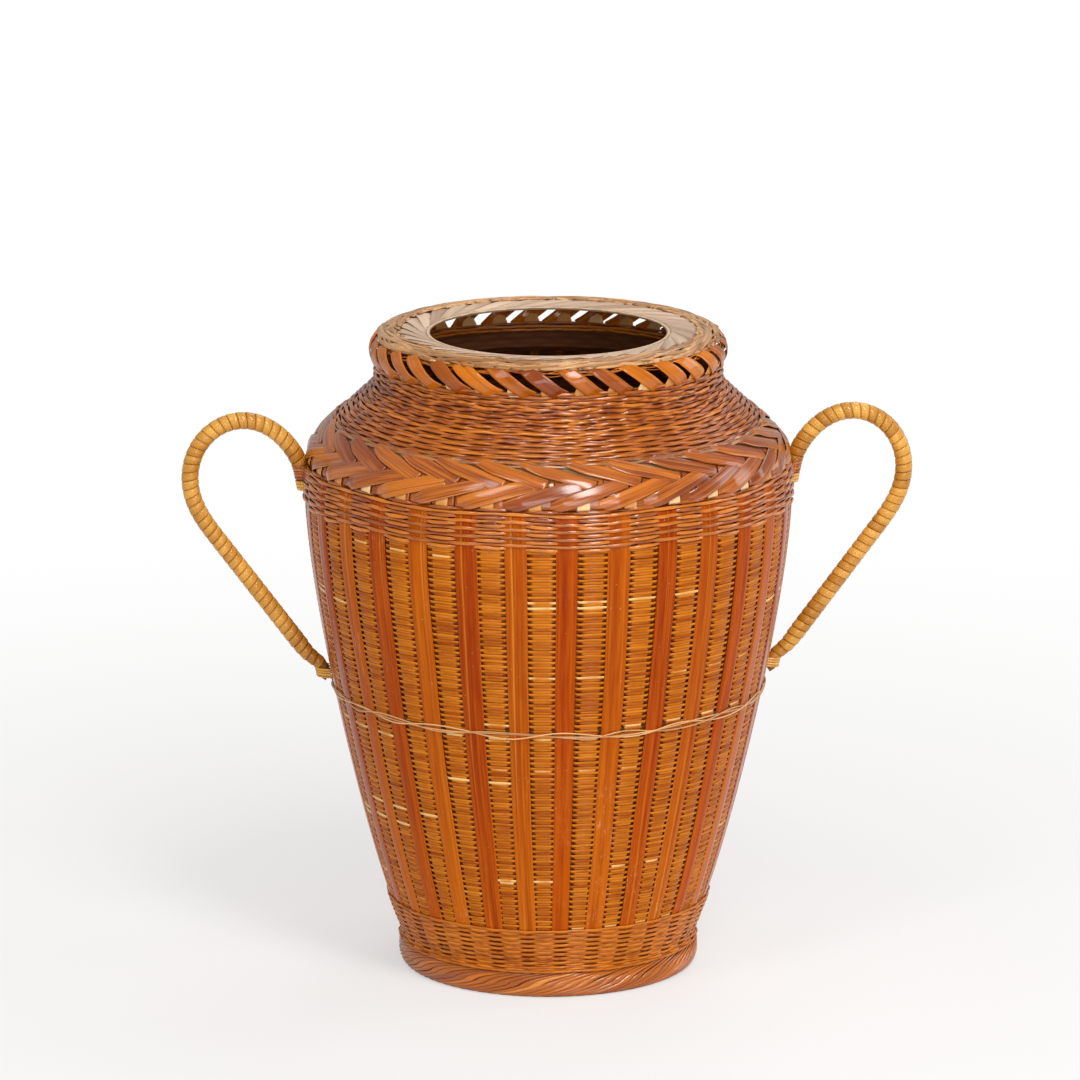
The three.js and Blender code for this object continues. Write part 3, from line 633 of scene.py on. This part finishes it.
def braidShape(hand, tones):
    jitter = chance.normal(0, 1, (braid["count"], 4))

    def shape(which, s, t):
        drawIn = hand["drawIn"] * (1 - smooth(s, 0.0, 0.45))
        width = braid["width"] * (hand["size"] + 0.035 * jitter[which, 0] - drawIn) * mm
        across, lift = section(t, width, braid["thickness"] * mm * cut(s), 0.35)
        lift = lift - braid["crown"] * mm * (2 * across / width) ** 2
        across = across + braid["width"] * drawIn / 2 * mm    # only the lower edge draws in
        start = braidPitch * which + hand["start"] + np.radians(0.35) * jitter[which, 1]

        def run(s):
            climb = hand["climb"] * ((1 - hand["bend"]) * s + hand["bend"] * s * s)
            return (hand["first"] + climb + hand["stray"] * jitter[which, 3]) * mm

        def out(s):
            rise = smooth(s, 0.0, hand["rise"])
            sink = braid["sink"] * np.clip((s - 0.2) / 0.8, 0, 1) ** 1.1
            level = braid["under"] + braid["over"] * rise - hand["deep"] * (1 - rise) - sink
            return (level + 0.05 * jitter[which, 2]) * mm

        place = braidSkin.ribbon(s, steady(start, np.radians(hand["span"])), run, out, across, lift)
        dirt = hand["dust"] * (1 - smooth(s, 0.0, 0.3)) + 0.2 * smooth(s, 0.88, 1.0)
        # painted shade: each strip darkens towards its right end, where it runs under the other hand
        return (*place, tones[which] - 0.15 * smooth(s, 0.8, 1.0), dirt)
    return shape


braidTones = [np.clip(chance.normal(0.5, 0.17, braid["count"]), 0, 1) for _ in braidHands]
for (label, hand), tones in zip(braidHands.items(), braidTones):
    strands(label, braidShape(hand, tones), "braid", ("shoulder_braid",), count=braid["count"],
            steps=28, sides=12, length=0.036, girth=0.015)

# pale ends of the slats under the braid, and the dusty stakes behind it
stubPlaces = braidPitch * (np.arange(braid["count"]) + 1.32)
stubTone = np.where(chance.random(braid["count"]) < 0.35, 1.4, 0.8)
shape = bandStakeShape(braidSkin, 0.2 * mm, 8.0 * mm, 6.2, -0.75, stubPlaces, stubTone)
strands("braidStubs", shape, "stake", ("shoulder_braid",), count=braid["count"], steps=6, sides=8,
        length=0.012, girth=0.012)
backTone = chance.uniform(0.1, 0.4, 2 * slatCount)
shape = bandStakeShape(braidSkin, 0.0, braidSkin.run[-1], 11.6, -1.4, halfPlaces, backTone, 1.3, (0.55, 0.72))
strands("braidStakes", shape, "strand", ("neck_weave",), count=2 * slatCount, steps=16, sides=8,
        length=0.03, girth=0.018)
print("shoulder braid")


# rim: slanting strips that fold over the edge, blades round the mouth, crossing strands between them

rim = {"count": 33, "width": 6.8, "thickness": 0.6, "lean": 1.26, "phase": -1.2, "foot": 284.0,
       "length": 19.8, "middle": 80.5, "out": 0.3, "fold": 1.3, "tuck": 1.5}
rimProfile = [(79.2, 282.6), (80.6, 285.6), (81.6, 288.6), (81.9, 291.4), (81.1, 294.4), (78.9, 297.0),
              (75.6, 298.7), (72.0, 299.2), (66.0, 299.2)]
rimSkin = Skin(eased(rimProfile, 30))
rimPitch = turn / rim["count"]
rimFoot = rimSkin.runAt(rim["foot"])
rimTone = np.clip(chance.normal(0.55, 0.17, rim["count"]), 0.1, 1)
rimJitter = chance.normal(0, 1, (rim["count"], 4))


def rimStripShape(which, s, t):
    jitter = rimJitter[which]
    width = rim["width"] * (1 + 0.06 * jitter[:, 0]) * (1 - 0.2 * smooth(s, 0.6, 0.85)) * mm
    across, lift = section(t, width, rim["thickness"] * mm * cut(s), 0.4)
    start = rimPitch * which + np.radians(rim["phase"]) + np.radians(0.4) * jitter[:, 1]
    lean = rim["lean"] * (1 + 0.06 * jitter[:, 3]) / rim["middle"]

    def out(s):
        level = rim["out"] - rim["fold"] * smooth(s, 0.7, 0.84) - rim["tuck"] * (1 - smooth(s, 0.0, 0.2))
        return (level + 0.06 * jitter[:, 2]) * mm

    angle, run = steady(start, -rim["length"] * lean), steady(rimFoot, rim["length"] * mm)
    dirt = 0.2 * (1 - smooth(s, 0.0, 0.25)) + 0.3 * smooth(s, 0.85, 1.0)
    return (*rimSkin.ribbon(s, angle, run, out, across, lift), rimTone[which], dirt)


strands("rimStrips", rimStripShape, "rimStrip", ("rim_openwork", "rim_edge"), count=rim["count"],
        steps=36, sides=10, length=0.028, girth=0.0115)

rimStake = {"width": 7.4, "thickness": 0.5, "place": 0.53, "lean": -0.03, "low": -1.0, "tall": 7.6,
            "out": -0.75, "outTop": 0.2}


def rimStakeShape(which, s, t):
    width = rimStake["width"] * (1 - 0.6 * smooth(s, 0.55, 1.0)) * mm
    across, lift = section(t, width, rimStake["thickness"] * mm * cut(s), 0.4)
    angle = steady(rimPitch * (which + rimStake["place"]) + np.radians(rim["phase"]), rimStake["lean"])
    run = steady(rimFoot + rimStake["low"] * mm, rimStake["tall"] * mm)
    out = steady(rimStake["out"] * mm, rimStake["outTop"] * mm)
    return rimSkin.ribbon(s, angle, run, out, across, lift)


strands("rimStakes", rimStakeShape, "stake", ("rim_openwork",), count=rim["count"], steps=10,
        sides=8, length=0.009, girth=0.013, tone=chance.uniform(0.9, 1.45, rim["count"]))

edgeProfile = [(67.5, 298.8), (70.5, 299.4), (73.5, 299.6), (76.2, 299.0), (78.2, 297.8), (79.2, 296.6)]
edgeSkin = Skin(eased(edgeProfile, 12, 120))
edgeSets = {
    "edgeOutward": {"count": 66, "width": 2.0, "thickness": 0.7, "sweep": -62.0, "ride": -0.28},
    "edgeInward": {"count": 44, "width": 1.5, "thickness": 0.7, "sweep": 48.0, "ride": 0.28},
}


def edgeShape(plan, tones):
    jitter = chance.normal(0, 1, (plan["count"], 4))

    def shape(which, s, t):
        own = jitter[which]
        width = plan["width"] * (1 + 0.15 * own[:, 0]) * mm
        across, lift = section(t, width, plan["thickness"] * mm * cut(s), 0.8)
        start = turn * which / plan["count"] + np.radians(1.2) * own[:, 1]
        sweep = np.radians(plan["sweep"] * (1 + 0.12 * own[:, 2]))

        def out(s):
            ride = plan["ride"] * np.sin(turn * 2 * s + which)
            return (ride - 0.7 * (1 - smooth(s, 0, 0.12)) - 0.7 * smooth(s, 0.9, 1.0)) * mm

        run = steady(0.08 * edgeSkin.run[-1], 0.92 * edgeSkin.run[-1])
        place = edgeSkin.ribbon(s, steady(start, sweep), run, out, across, lift)
        return (*place, tones[which], 0.35 * (1 - smooth(lift, -0.1 * mm, 0.2 * mm)))
    return shape


edgeTones = {label: np.clip(chance.normal(0.5, 0.25, edgeSets["edgeOutward"]["count"]), 0, 1)
             for label in ("edgeInward", "edgeOutward")}
for label, plan in edgeSets.items():
    strands(label, edgeShape(plan, edgeTones[label]), "rimEdge", ("rim_edge",),
            count=plan["count"], steps=40, length=0.042, girth=0.004)

blades = {"count": 33, "ring": 54.9, "thickness": 0.42, "length": 47.0, "top": 299.35, "overlap": 1.8,
          "lead": 2.0, "slope": 0.3, "crown": 0.12, "sink": 0.35, "mouthDip": 1.3}
bladeTone = np.clip(chance.normal(0.55, 0.2, blades["count"]), 0, 1)


def bladeShape(which, s, t):                       # each blade leaves the mouth's ring along its tangent
    ring, pitch = blades["ring"], turn / blades["count"]
    start = turn * which / blades["count"]
    across, lift = section(t, 1.0, blades["thickness"] * cut(s), 0.35)
    v = 0.5 - across                               # 0 at the outer edge, 1 at the inner edge
    along = blades["lead"] + blades["length"] * s
    wedge = np.maximum(along * math.sin(pitch) - ring * (1 - math.cos(pitch)), 0.15) + blades["overlap"]
    room = ring - np.sqrt(np.maximum((ring - 0.5) ** 2 - along ** 2, 0.0))
    width = np.minimum(wedge, room + 0.1)
    x, y = ring - width * v, -along
    z = blades["top"] + lift - blades["slope"] * v * width / wedge
    z = z + blades["crown"] * np.sin(math.pi * np.clip(v * 1.3, 0, 1))
    z = z - blades["sink"] * smooth(along, 30.0, 48.0)
    z = z - blades["mouthDip"] * (1 - smooth(np.hypot(x, y), 54.0, 67.0))
    place = x * np.cos(start) - y * np.sin(start), x * np.sin(start) + y * np.cos(start), z
    paintedShadow = 1 - smooth((1 - v) * width, 1.9, 2.7)    # painted shadow, darker and dust-coloured, where the next blade lies on this one
    return (*(part * mm for part in place), bladeTone[which] - 0.5 * paintedShadow, 0.8 * paintedShadow)


strands("rimBlades", bladeShape, "rimTop", ("rim_plait",), count=blades["count"], steps=20,
        sides=12, length=0.05, girth=0.017)


# plain rings: under the blades, round the mouth and inside the edge
def hoop(name, finish, radius, height, wide, tall, node, tone, squareness):
    flat = Skin([(radius + 6, height), (radius - 6, height)])

    def shape(which, s, t):
        across, lift = section(t, wide * mm, tall * mm, squareness)
        return flat.lay(turn * s, 6 * mm + across, lift)

    strands(name, shape, finish, (node,), steps=240, sides=10, length=0.4, girth=0.012,
            tone=tone)


hoop("rimPlate", "rimTop", 66.2, 297.4, 17.0, 0.9, "rim_plait", 0.35, 0.3)
hoop("mouthHoop", "rimTop", 55.3, 297.8, 1.4, 1.3, "rim_plait", 0.7, 0.6)
hoop("edgeCore", "rimEdge", 74.3, 297.3, 5.4, 1.8, "rim_edge", 0.1, 0.6)

windowStrand = {"count": 4, "height": 296.0, "thick": 0.5, "stray": 0.9, "spread": 0.5,
                "out": -0.5}
windowWander = Wander(77, windowStrand["count"], (5, 11, 19))


def windowStrandShape(which, s, t):                # thin strands that cross the windows behind the strips
    angle = turn * s
    across, lift = section(t, windowStrand["thick"] * mm, windowStrand["thick"] * mm)
    order = which - (windowStrand["count"] - 1) / 2
    stray = windowStrand["stray"] * windowWander.at(which, angle) + windowStrand["spread"] * order
    run = rimSkin.runAt(windowStrand["height"]) + stray * mm
    return rimSkin.lay(angle, run + across, windowStrand["out"] * mm + lift)


strands("windowStrands", windowStrandShape, "rimStrip", ("rim_openwork",),
        count=windowStrand["count"], steps=300, length=0.5, girth=0.002, tone=np.array([0.4, 0.9, 0.6, 0.2]))
print("rim")


# waist cord, foot border and base

waist = {"height": 133.0, "out": 0.45, "roll": 0.35, "open": 1.5, "thick": 0.72, "sway": 0.5, "stray": 0.4,
         "phase": (0.0, math.pi, 0.6 * math.pi), "waves": (11, 11, 7), "swing": (1.0, 1.0, 0.6),
         "sink": (0.0, 0.0, 0.3), "tones": (1.1, 0.6, 0.85)}
waistWander = Wander(52, 3, (2, 5, 9))


def waistShape(which, s, t):
    angle = turn * s
    across, lift = section(t, waist["thick"] * mm, waist["thick"] * mm)
    phase, waves, swing, sink = (np.choose(which, waist[key]) for key in ("phase", "waves", "swing", "sink"))
    lay = waves * angle + phase + 0.5 * waistWander.at(which, angle)
    out = waist["out"] + waist["roll"] * np.cos(lay) - sink
    rise = waist["open"] * swing * np.sin(lay)
    rise = rise + waist["sway"] * np.sin(2 * angle + 1) + waist["stray"] * waistWander.at(0 * which, angle)
    return wallSkin.lay(angle, wallSkin.runAt(waist["height"]) + rise * mm + across, out * mm + lift)


strands("waistCord", waistShape, "rimEdge", ("waist_cord",), count=3, steps=720, length=0.62,
        girth=0.003, tone=np.array(waist["tones"]))

holeShadow = {"place": 2.9, "wide": 1.9, "tall": 1.9, "low": 0.9, "stray": 0.5, "thickness": 0.3, "out": 0.06}
holeChance = chance.normal(0, 1, 2 * slatCount)


def holeShadowShape(which, s, t):                   # painted shade: dark patches laid on the weave, standing for the shadowed holes where the cord passes through
    width = holeShadow["wide"] * mm * np.sin(math.pi * s) ** 0.5
    across, lift = section(t, width, holeShadow["thickness"] * mm * cut(s))
    rise = holeShadow["low"] + holeShadow["tall"] * s + holeShadow["stray"] * holeChance[which]
    run = wallSkin.runAt(waist["height"]) + rise * mm
    place = slatPitch * (which // 2) + np.radians(holeShadow["place"]) * np.where(which % 2, 1, -1)
    out = holeShadow["out"] * mm + lift
    return (*wallSkin.lay(place + across / wallSkin.radiusAt(run), run, out), -0.4)


strands("paintedHoleShadows", holeShadowShape, "stain", ("waist_cord",), count=2 * slatCount, length=0.002,
        girth=0.003)

foot = {"strands": 20, "turns": 4, "centre": 65.75, "middle": 6.2, "half": 4.0, "tall": 6.2, "wide": 1.85,
        "thick": 1.7, "girth": 5.6, "proud": 0.8, "depth": 4.2}
footTone = tonesOf(foot["strands"], 0.52, 0.07)
footWander = Wander(61, foot["strands"], (3, 8, 17))


def footShape(which, s, t):                        # strands wound round a ring that is flatter below
    angle = turn * s
    stray = footWander.at(which, angle)
    across, lift = section(t, foot["wide"] * (1 + 0.1 * stray), foot["thick"])
    lay = turn * (which / foot["strands"]) + foot["turns"] * angle + 0.03 * stray + across / foot["girth"]
    depth = 1.0 - (foot["proud"] - lift) / foot["depth"]
    c, d = np.cos(lay), np.sin(lay)
    blunt = 0.62 + 0.24 * smooth(-d, -0.3, 0.3)
    radius = foot["centre"] + np.sign(c) * np.abs(c) ** blunt * foot["half"] * depth
    height = np.maximum(foot["middle"] + np.sign(d) * np.abs(d) ** blunt * foot["tall"] * depth, 0.0)
    place = radius * np.cos(angle) * mm, radius * np.sin(angle) * mm, height * mm
    return (*place, footTone[which], 0.12 + 0.5 * (1 - smooth(lift, -0.4, 0.4)))


strands("footBorder", footShape, "strand", ("foot_border",), count=foot["strands"], steps=480,
        sides=8, length=0.42, girth=0.006)

base = {
    "radius": 68.0, "level": 13.95, "first": 2.4, "pitch": 1.7, "rows": 37, "tall": 1.75, "swell": 0.1,
    "thick": 1.0, "weave": 12, "over": 0.5, "under": -0.5, "snap": 2.0, "flip": 0, "stray": 0.05, "sway": 0.0,
    "shade": 0.1, "dust": 0.1, "spokes": 24, "spokeWidth": 3.0, "spokeThickness": 0.6,
    "spokeFrom": 2.0, "spokeLength": 64.5,
}
baseSkin = Skin([(base["radius"], base["level"]), (0.5, base["level"])])
baseRuns = (base["first"] + base["pitch"] * np.arange(base["rows"])) * mm
strands("baseRows", rowsShape(baseSkin, baseRuns, base, 71, tonesOf(base["rows"])), "weft",
        ("base_weave",), count=base["rows"], steps=144, length=0.3, girth=0.004)


def spokeShape(which, s, t):
    run = (base["spokeFrom"] + base["spokeLength"] * s) * mm
    width = base["spokeWidth"] * (1 - 0.7 * s) * mm
    across, lift = section(t, width, base["spokeThickness"] * mm * cut(s), 0.6)
    return baseSkin.lay(turn / base["spokes"] * which + across / baseSkin.radiusAt(run), run, lift)


strands("baseSpokes", spokeShape, "stake", ("base_weave",), count=base["spokes"], steps=16, sides=8,
        length=0.065, girth=0.006, tone=0.4)
print("waist, foot and base")


# handles: a bent rod, about fifty turns of cane, and the ties
# places on the rod's line are (distance from the axis, height) in mm, from the band up and down to the wall

handle = {
    "foot": (111.4, 225.0), "lean": (112.9, 233.0), "rise": (115.0, 244.2), "seat": 117.4, "top": 258.8,
    "crownOut": 23.2, "crownEase": 14.5, "bowOut": 47.6, "bowDown": 26.8, "roundness": 0.552,
    "runOut": 32.6, "runDown": 58.8, "runFoot": 150.0, "runGap": 9.5, "runGapAt": 135.5, "runEase": 5.1,
    "wallGap": 3.25, "tailTop": 141.0, "tailEase": 3.4, "tailEnd": 135.0,
    "rod": 3.2, "turns": 49, "strip": 4.0, "thickness": 0.75, "wrapRadius": 3.62, "lap": 0.09,
    "first": 9.0, "last": 198.8,
}


def besideWall(height):
    return np.interp(height, sideCurve[:, 1], sideCurve[:, 0]) + handle["wallGap"]


def unit(way):
    return way / np.hypot(*way)


def bend(*points, count=60):
    return curvePoints(*points, count)[:-1]


def handleTrack():
    seat, top = handle["seat"], handle["top"]
    crown = seat + handle["crownOut"]
    bow, bowHeight = seat + handle["bowOut"], top - handle["bowDown"]
    runTop = np.array((seat + handle["runOut"], top - handle["runDown"]))
    runFoot = np.array((besideWall(handle["runGapAt"]) + handle["runGap"], handle["runFoot"]))
    tailTop, tailEnd = (np.array((besideWall(handle[end]), handle[end])) for end in ("tailTop", "tailEnd"))
    way, tail = unit(runTop - runFoot), unit(tailTop - tailEnd)
    outward = crown + handle["roundness"] * (bow - crown)
    upward = bowHeight + handle["roundness"] * handle["bowDown"]
    ease = 0.4 * (bowHeight - runTop[1])
    return np.concatenate([
        np.linspace(handle["foot"], handle["lean"], 30)[:-1],
        bend(handle["lean"], handle["rise"], (crown - handle["crownEase"], top), (crown, top)),
        bend((crown, top), (outward, top), (bow, upward), (bow, bowHeight)),
        bend((bow, bowHeight), (bow, bowHeight - ease), runTop + way * ease, runTop),
        np.linspace(runTop, runFoot, 60)[:-1],
        bend(runFoot, runFoot - way * handle["runEase"], tailTop + tail * handle["tailEase"], tailTop),
        np.linspace(tailTop, tailEnd, 20),
    ])


class Track:                                       # a bent line in the plane of the handles
    def __init__(self, points):
        self.points = points * mm
        self.far = np.concatenate([[0.0], np.cumsum(np.hypot(*np.diff(self.points, axis=0).T))])
        way = np.gradient(self.points, self.far, axis=0)
        self.way = way / np.hypot(*way.T)[:, None]

    def at(self, far):
        return np.interp(far, self.far, self.points[:, 0]), np.interp(far, self.far, self.points[:, 1])

    def lay(self, far, angle, radius):
        x, z = self.at(far)
        wx, wz = np.interp(far, self.far, self.way[:, 0]), np.interp(far, self.far, self.way[:, 1])
        return x + radius * np.cos(angle) * wz, radius * np.sin(angle), z - radius * np.cos(angle) * wx


track = Track(handleTrack())
handleLength = track.far[-1]


def onSide(place, left):                           # the left handle is the right one, turned half round
    x, y, z = place
    return (-x, -y, z) if left else (x, y, z)


def rodShape(left):
    def shape(which, s, t):
        thin = handle["rod"] * (1 - 0.35 * smooth(s, 0.93, 1.0)) * taper(s, 0.008)
        return onSide(track.lay(s * handleLength, turn * t, thin * mm), left)
    return shape


def wrapShape(left):
    wander = Wander(90 + left, 1, (3, 7, 16, 31, 47))

    def shape(which, s, t):
        across, lift = section(t, handle["strip"], handle["thickness"], 0.6)
        far = handle["first"] + (handle["last"] - handle["first"]) * s + across
        angle = turn * handle["turns"] * s
        slope = handle["lap"] * across / (handle["strip"] / 2)    # each turn laps the one before
        slim = 1 - 0.22 * smooth(s, 0.9, 1.0)
        radius = (handle["wrapRadius"] + lift * taper(s, 0.002) + slope) * slim
        shade = 0.5 + 0.22 * wander.at(which, s * turn) + 0.25 * (np.sin(angle * 0.37) > 0.93)
        shade = shade - 0.75 * (1 - smooth(s, 0.02, 0.10)) - 0.25 * smooth(s, 0.9, 1.0)
        return (*onSide(track.lay(far * mm, angle, radius * mm), left), shade)
    return shape


# ties: strands round the rod, with legs on a band of the radius "around", or straight in where it is 0
ties = {
    "upperTieLow": {"node": "upper_tie_low", "finish": "cane", "far": 3.2, "tilt": 0.3, "legs": 7.0,
                    "around": 113.0, "width": 1.5, "hold": 4.0, "tones": (0.9, 1.1, 0.8),
                    "steps": 48, "length": 0.03},
    "upperTieHigh": {"node": "upper_tie_high", "finish": "strand", "far": 9.4, "tilt": 1.0, "legs": 13.0,
                     "around": 113.0, "width": 1.35, "hold": 4.0, "tones": (0.3, 0.5, 0.4, 0.6, 0.3),
                     "steps": 48, "length": 0.04},
    "lowerTie": {"node": "lower_tie", "finish": "cane", "far": handleLength / mm - 4.8, "tilt": 0.8,
                 "legs": 3.6, "around": 0.0, "width": 1.15, "hold": 3.3, "tones": (0.8, 0.6, 1.1, 0.5),
                 "steps": 40, "length": 0.02},
}


def tieShape(tie, left):
    around, legs, hold = tie["around"], tie["legs"], tie["hold"]
    share, swing = (0.5, math.radians(82)) if around else (0.62, math.radians(90))

    def middle(arc, place):                        # x and y of a strand, for arc from -1 to 1 along it
        leg = np.clip(np.abs(arc) - share, 0, 1) / (1 - share) * legs
        bow = np.clip(np.abs(arc) / share, 0, 1) * swing
        x = track.at(place * mm)[0] / mm + hold * np.cos(bow)
        aside = hold * np.sin(bow) + (leg if around else 0.0)
        if around:
            wall = np.sqrt(around ** 2 - aside ** 2) - 1.3 * (leg / legs) ** 2
            return x + (wall - x) * smooth(leg, 0.0, 2.2), np.sign(arc) * aside
        return x - leg, np.sign(arc) * aside

    def shape(which, s, t):
        end = taper(s, 0.03)
        across, lift = section(t, tie["width"] * end, 0.8 * end, 0.7)
        arc = (s - 0.5) * 2
        order = which - (len(tie["tones"]) - 1) / 2
        place = tie["far"] + order * tie["width"] * 1.02 + across + tie["tilt"] * arc
        x, y = middle(arc, place)
        ahead, behind = middle(arc + 0.004, place), middle(arc - 0.004, place)
        way = ahead[0] - behind[0], ahead[1] - behind[1]
        size = np.hypot(*way)
        z = track.at(place * mm)[1]
        return onSide(((x + lift * way[1] / size) * mm, (y - lift * way[0] / size) * mm, z), left)
    return shape


for side, left in (("Right", False), ("Left", True)):
    strands(f"handleRod{side}", rodShape(left), "caneRod", (f"handle_rod_{side.lower()}",),
            steps=90, sides=12, length=0.2, girth=0.02)
    strands(f"handleWrap{side}", wrapShape(left), "cane", (f"handle_wrap_{side.lower()}",),
            steps=20 * handle["turns"], length=1.3, girth=0.009)
    for label, tie in ties.items():
        strands(f"{label}{side}", tieShape(tie, left), tie["finish"],
                (f"{tie['node']}_{side.lower()}",), count=len(tie["tones"]), steps=tie["steps"], sides=8,
                length=tie["length"], girth=0.004, tone=np.array(tie["tones"]))
print("handles")


# studio: pale floor, soft light; rays from the camera see a white ground

studio = {"floor": 6.0, "floorColour": (0.84, 0.83, 0.815, 1.0), "room": 0.40, "whiteNear": 0.5,
          "whiteFrom": 0.2, "whiteTo": 0.9, "lampTarget": 0.15}
white = (1.0, 1.0, 1.0, 1.0)


def cameraRay(kit):                                # 1 for a ray from the camera, else 0
    return kit.node("ShaderNodeLightPath", {}, out=0)


floorMaterial = bpy.data.materials.new("floor")
floorMaterial.use_nodes = True
floorKit = Kit(floorMaterial.node_tree)
matte = floorKit.node("ShaderNodeBsdfDiffuse", {}, {"Color": studio["floorColour"]})
glow = floorKit.node("ShaderNodeEmission", {}, {"Color": white, "Strength": 1.0})
spot = floorKit.node("ShaderNodeTexCoord", {}, out=3)
reach = floorKit.node("ShaderNodeVectorMath", {"operation": "LENGTH"}, {0: spot}, out=1)
share = reach.held(studio["whiteFrom"], studio["whiteTo"]) * (1.0 - studio["whiteNear"]) + studio["whiteNear"]
seen = floorKit.blend(cameraRay(floorKit) * share, matte, glow)
floorKit.node("ShaderNodeOutputMaterial", {}, {"Surface": seen}, out=None)
sheet = bmesh.new()
bmesh.ops.create_grid(sheet, x_segments=1, y_segments=1, size=studio["floor"])
floorMesh = bpy.data.meshes.new("floor")
sheet.to_mesh(floorMesh)
sheet.free()
floor = bpy.data.objects.new("floor", floorMesh)
bpy.context.scene.collection.objects.link(floor)
floorMesh.materials.append(floorMaterial)

world = bpy.data.worlds.new("studio")
bpy.context.scene.world = world
world.use_nodes = True
worldKit = Kit(world.node_tree)
dim = worldKit.node("ShaderNodeBackground", {}, {"Color": white, "Strength": studio["room"]})
bright = worldKit.node("ShaderNodeBackground", {}, {"Color": white, "Strength": 1.0})
seen = worldKit.blend(cameraRay(worldKit), dim, bright)
worldKit.node("ShaderNodeOutputWorld", {}, {"Surface": seen}, out=None)

# power, width and height in metres, bearing from the camera's side (+ to its right), rise, distance
lamps = {
    "keyRight": (24.0, 0.4, 1.3, 24, 49, 2.2),
    "keyLeft": (7.5, 0.4, 1.3, -30, 49, 2.2),
    "fill": (14.0, 1.8, 0.7, 8, 11, 2.4),
    "sideRight": (8.0, 0.8, 1.4, 105, 18, 2.2),
    "sideLeft": (1.2, 0.8, 1.4, -108, 18, 2.2),
    "back": (9.0, 1.0, 1.0, 160, 50, 2.3),
}
for label, (power, wide, tall, bearing, rise, distance) in lamps.items():
    light = bpy.data.lights.new(label, "AREA")
    light.energy, light.shape, light.size, light.size_y = power, "RECTANGLE", wide, tall
    lamp = bpy.data.objects.new(label, light)
    bpy.context.scene.collection.objects.link(lamp)
    side, up = math.radians(bearing) - azimuth, math.radians(rise)
    away, height = distance * math.cos(up), studio["lampTarget"] + distance * math.sin(up)
    lamp.location = (away * math.sin(side), -away * math.cos(side), height)
    lamp.rotation_euler = (math.pi / 2 - up, 0.0, side)

bpy.context.scene.view_settings.view_transform = "Standard"
print("studio")
print("triangles", counts, "in all", sum(counts.values()))
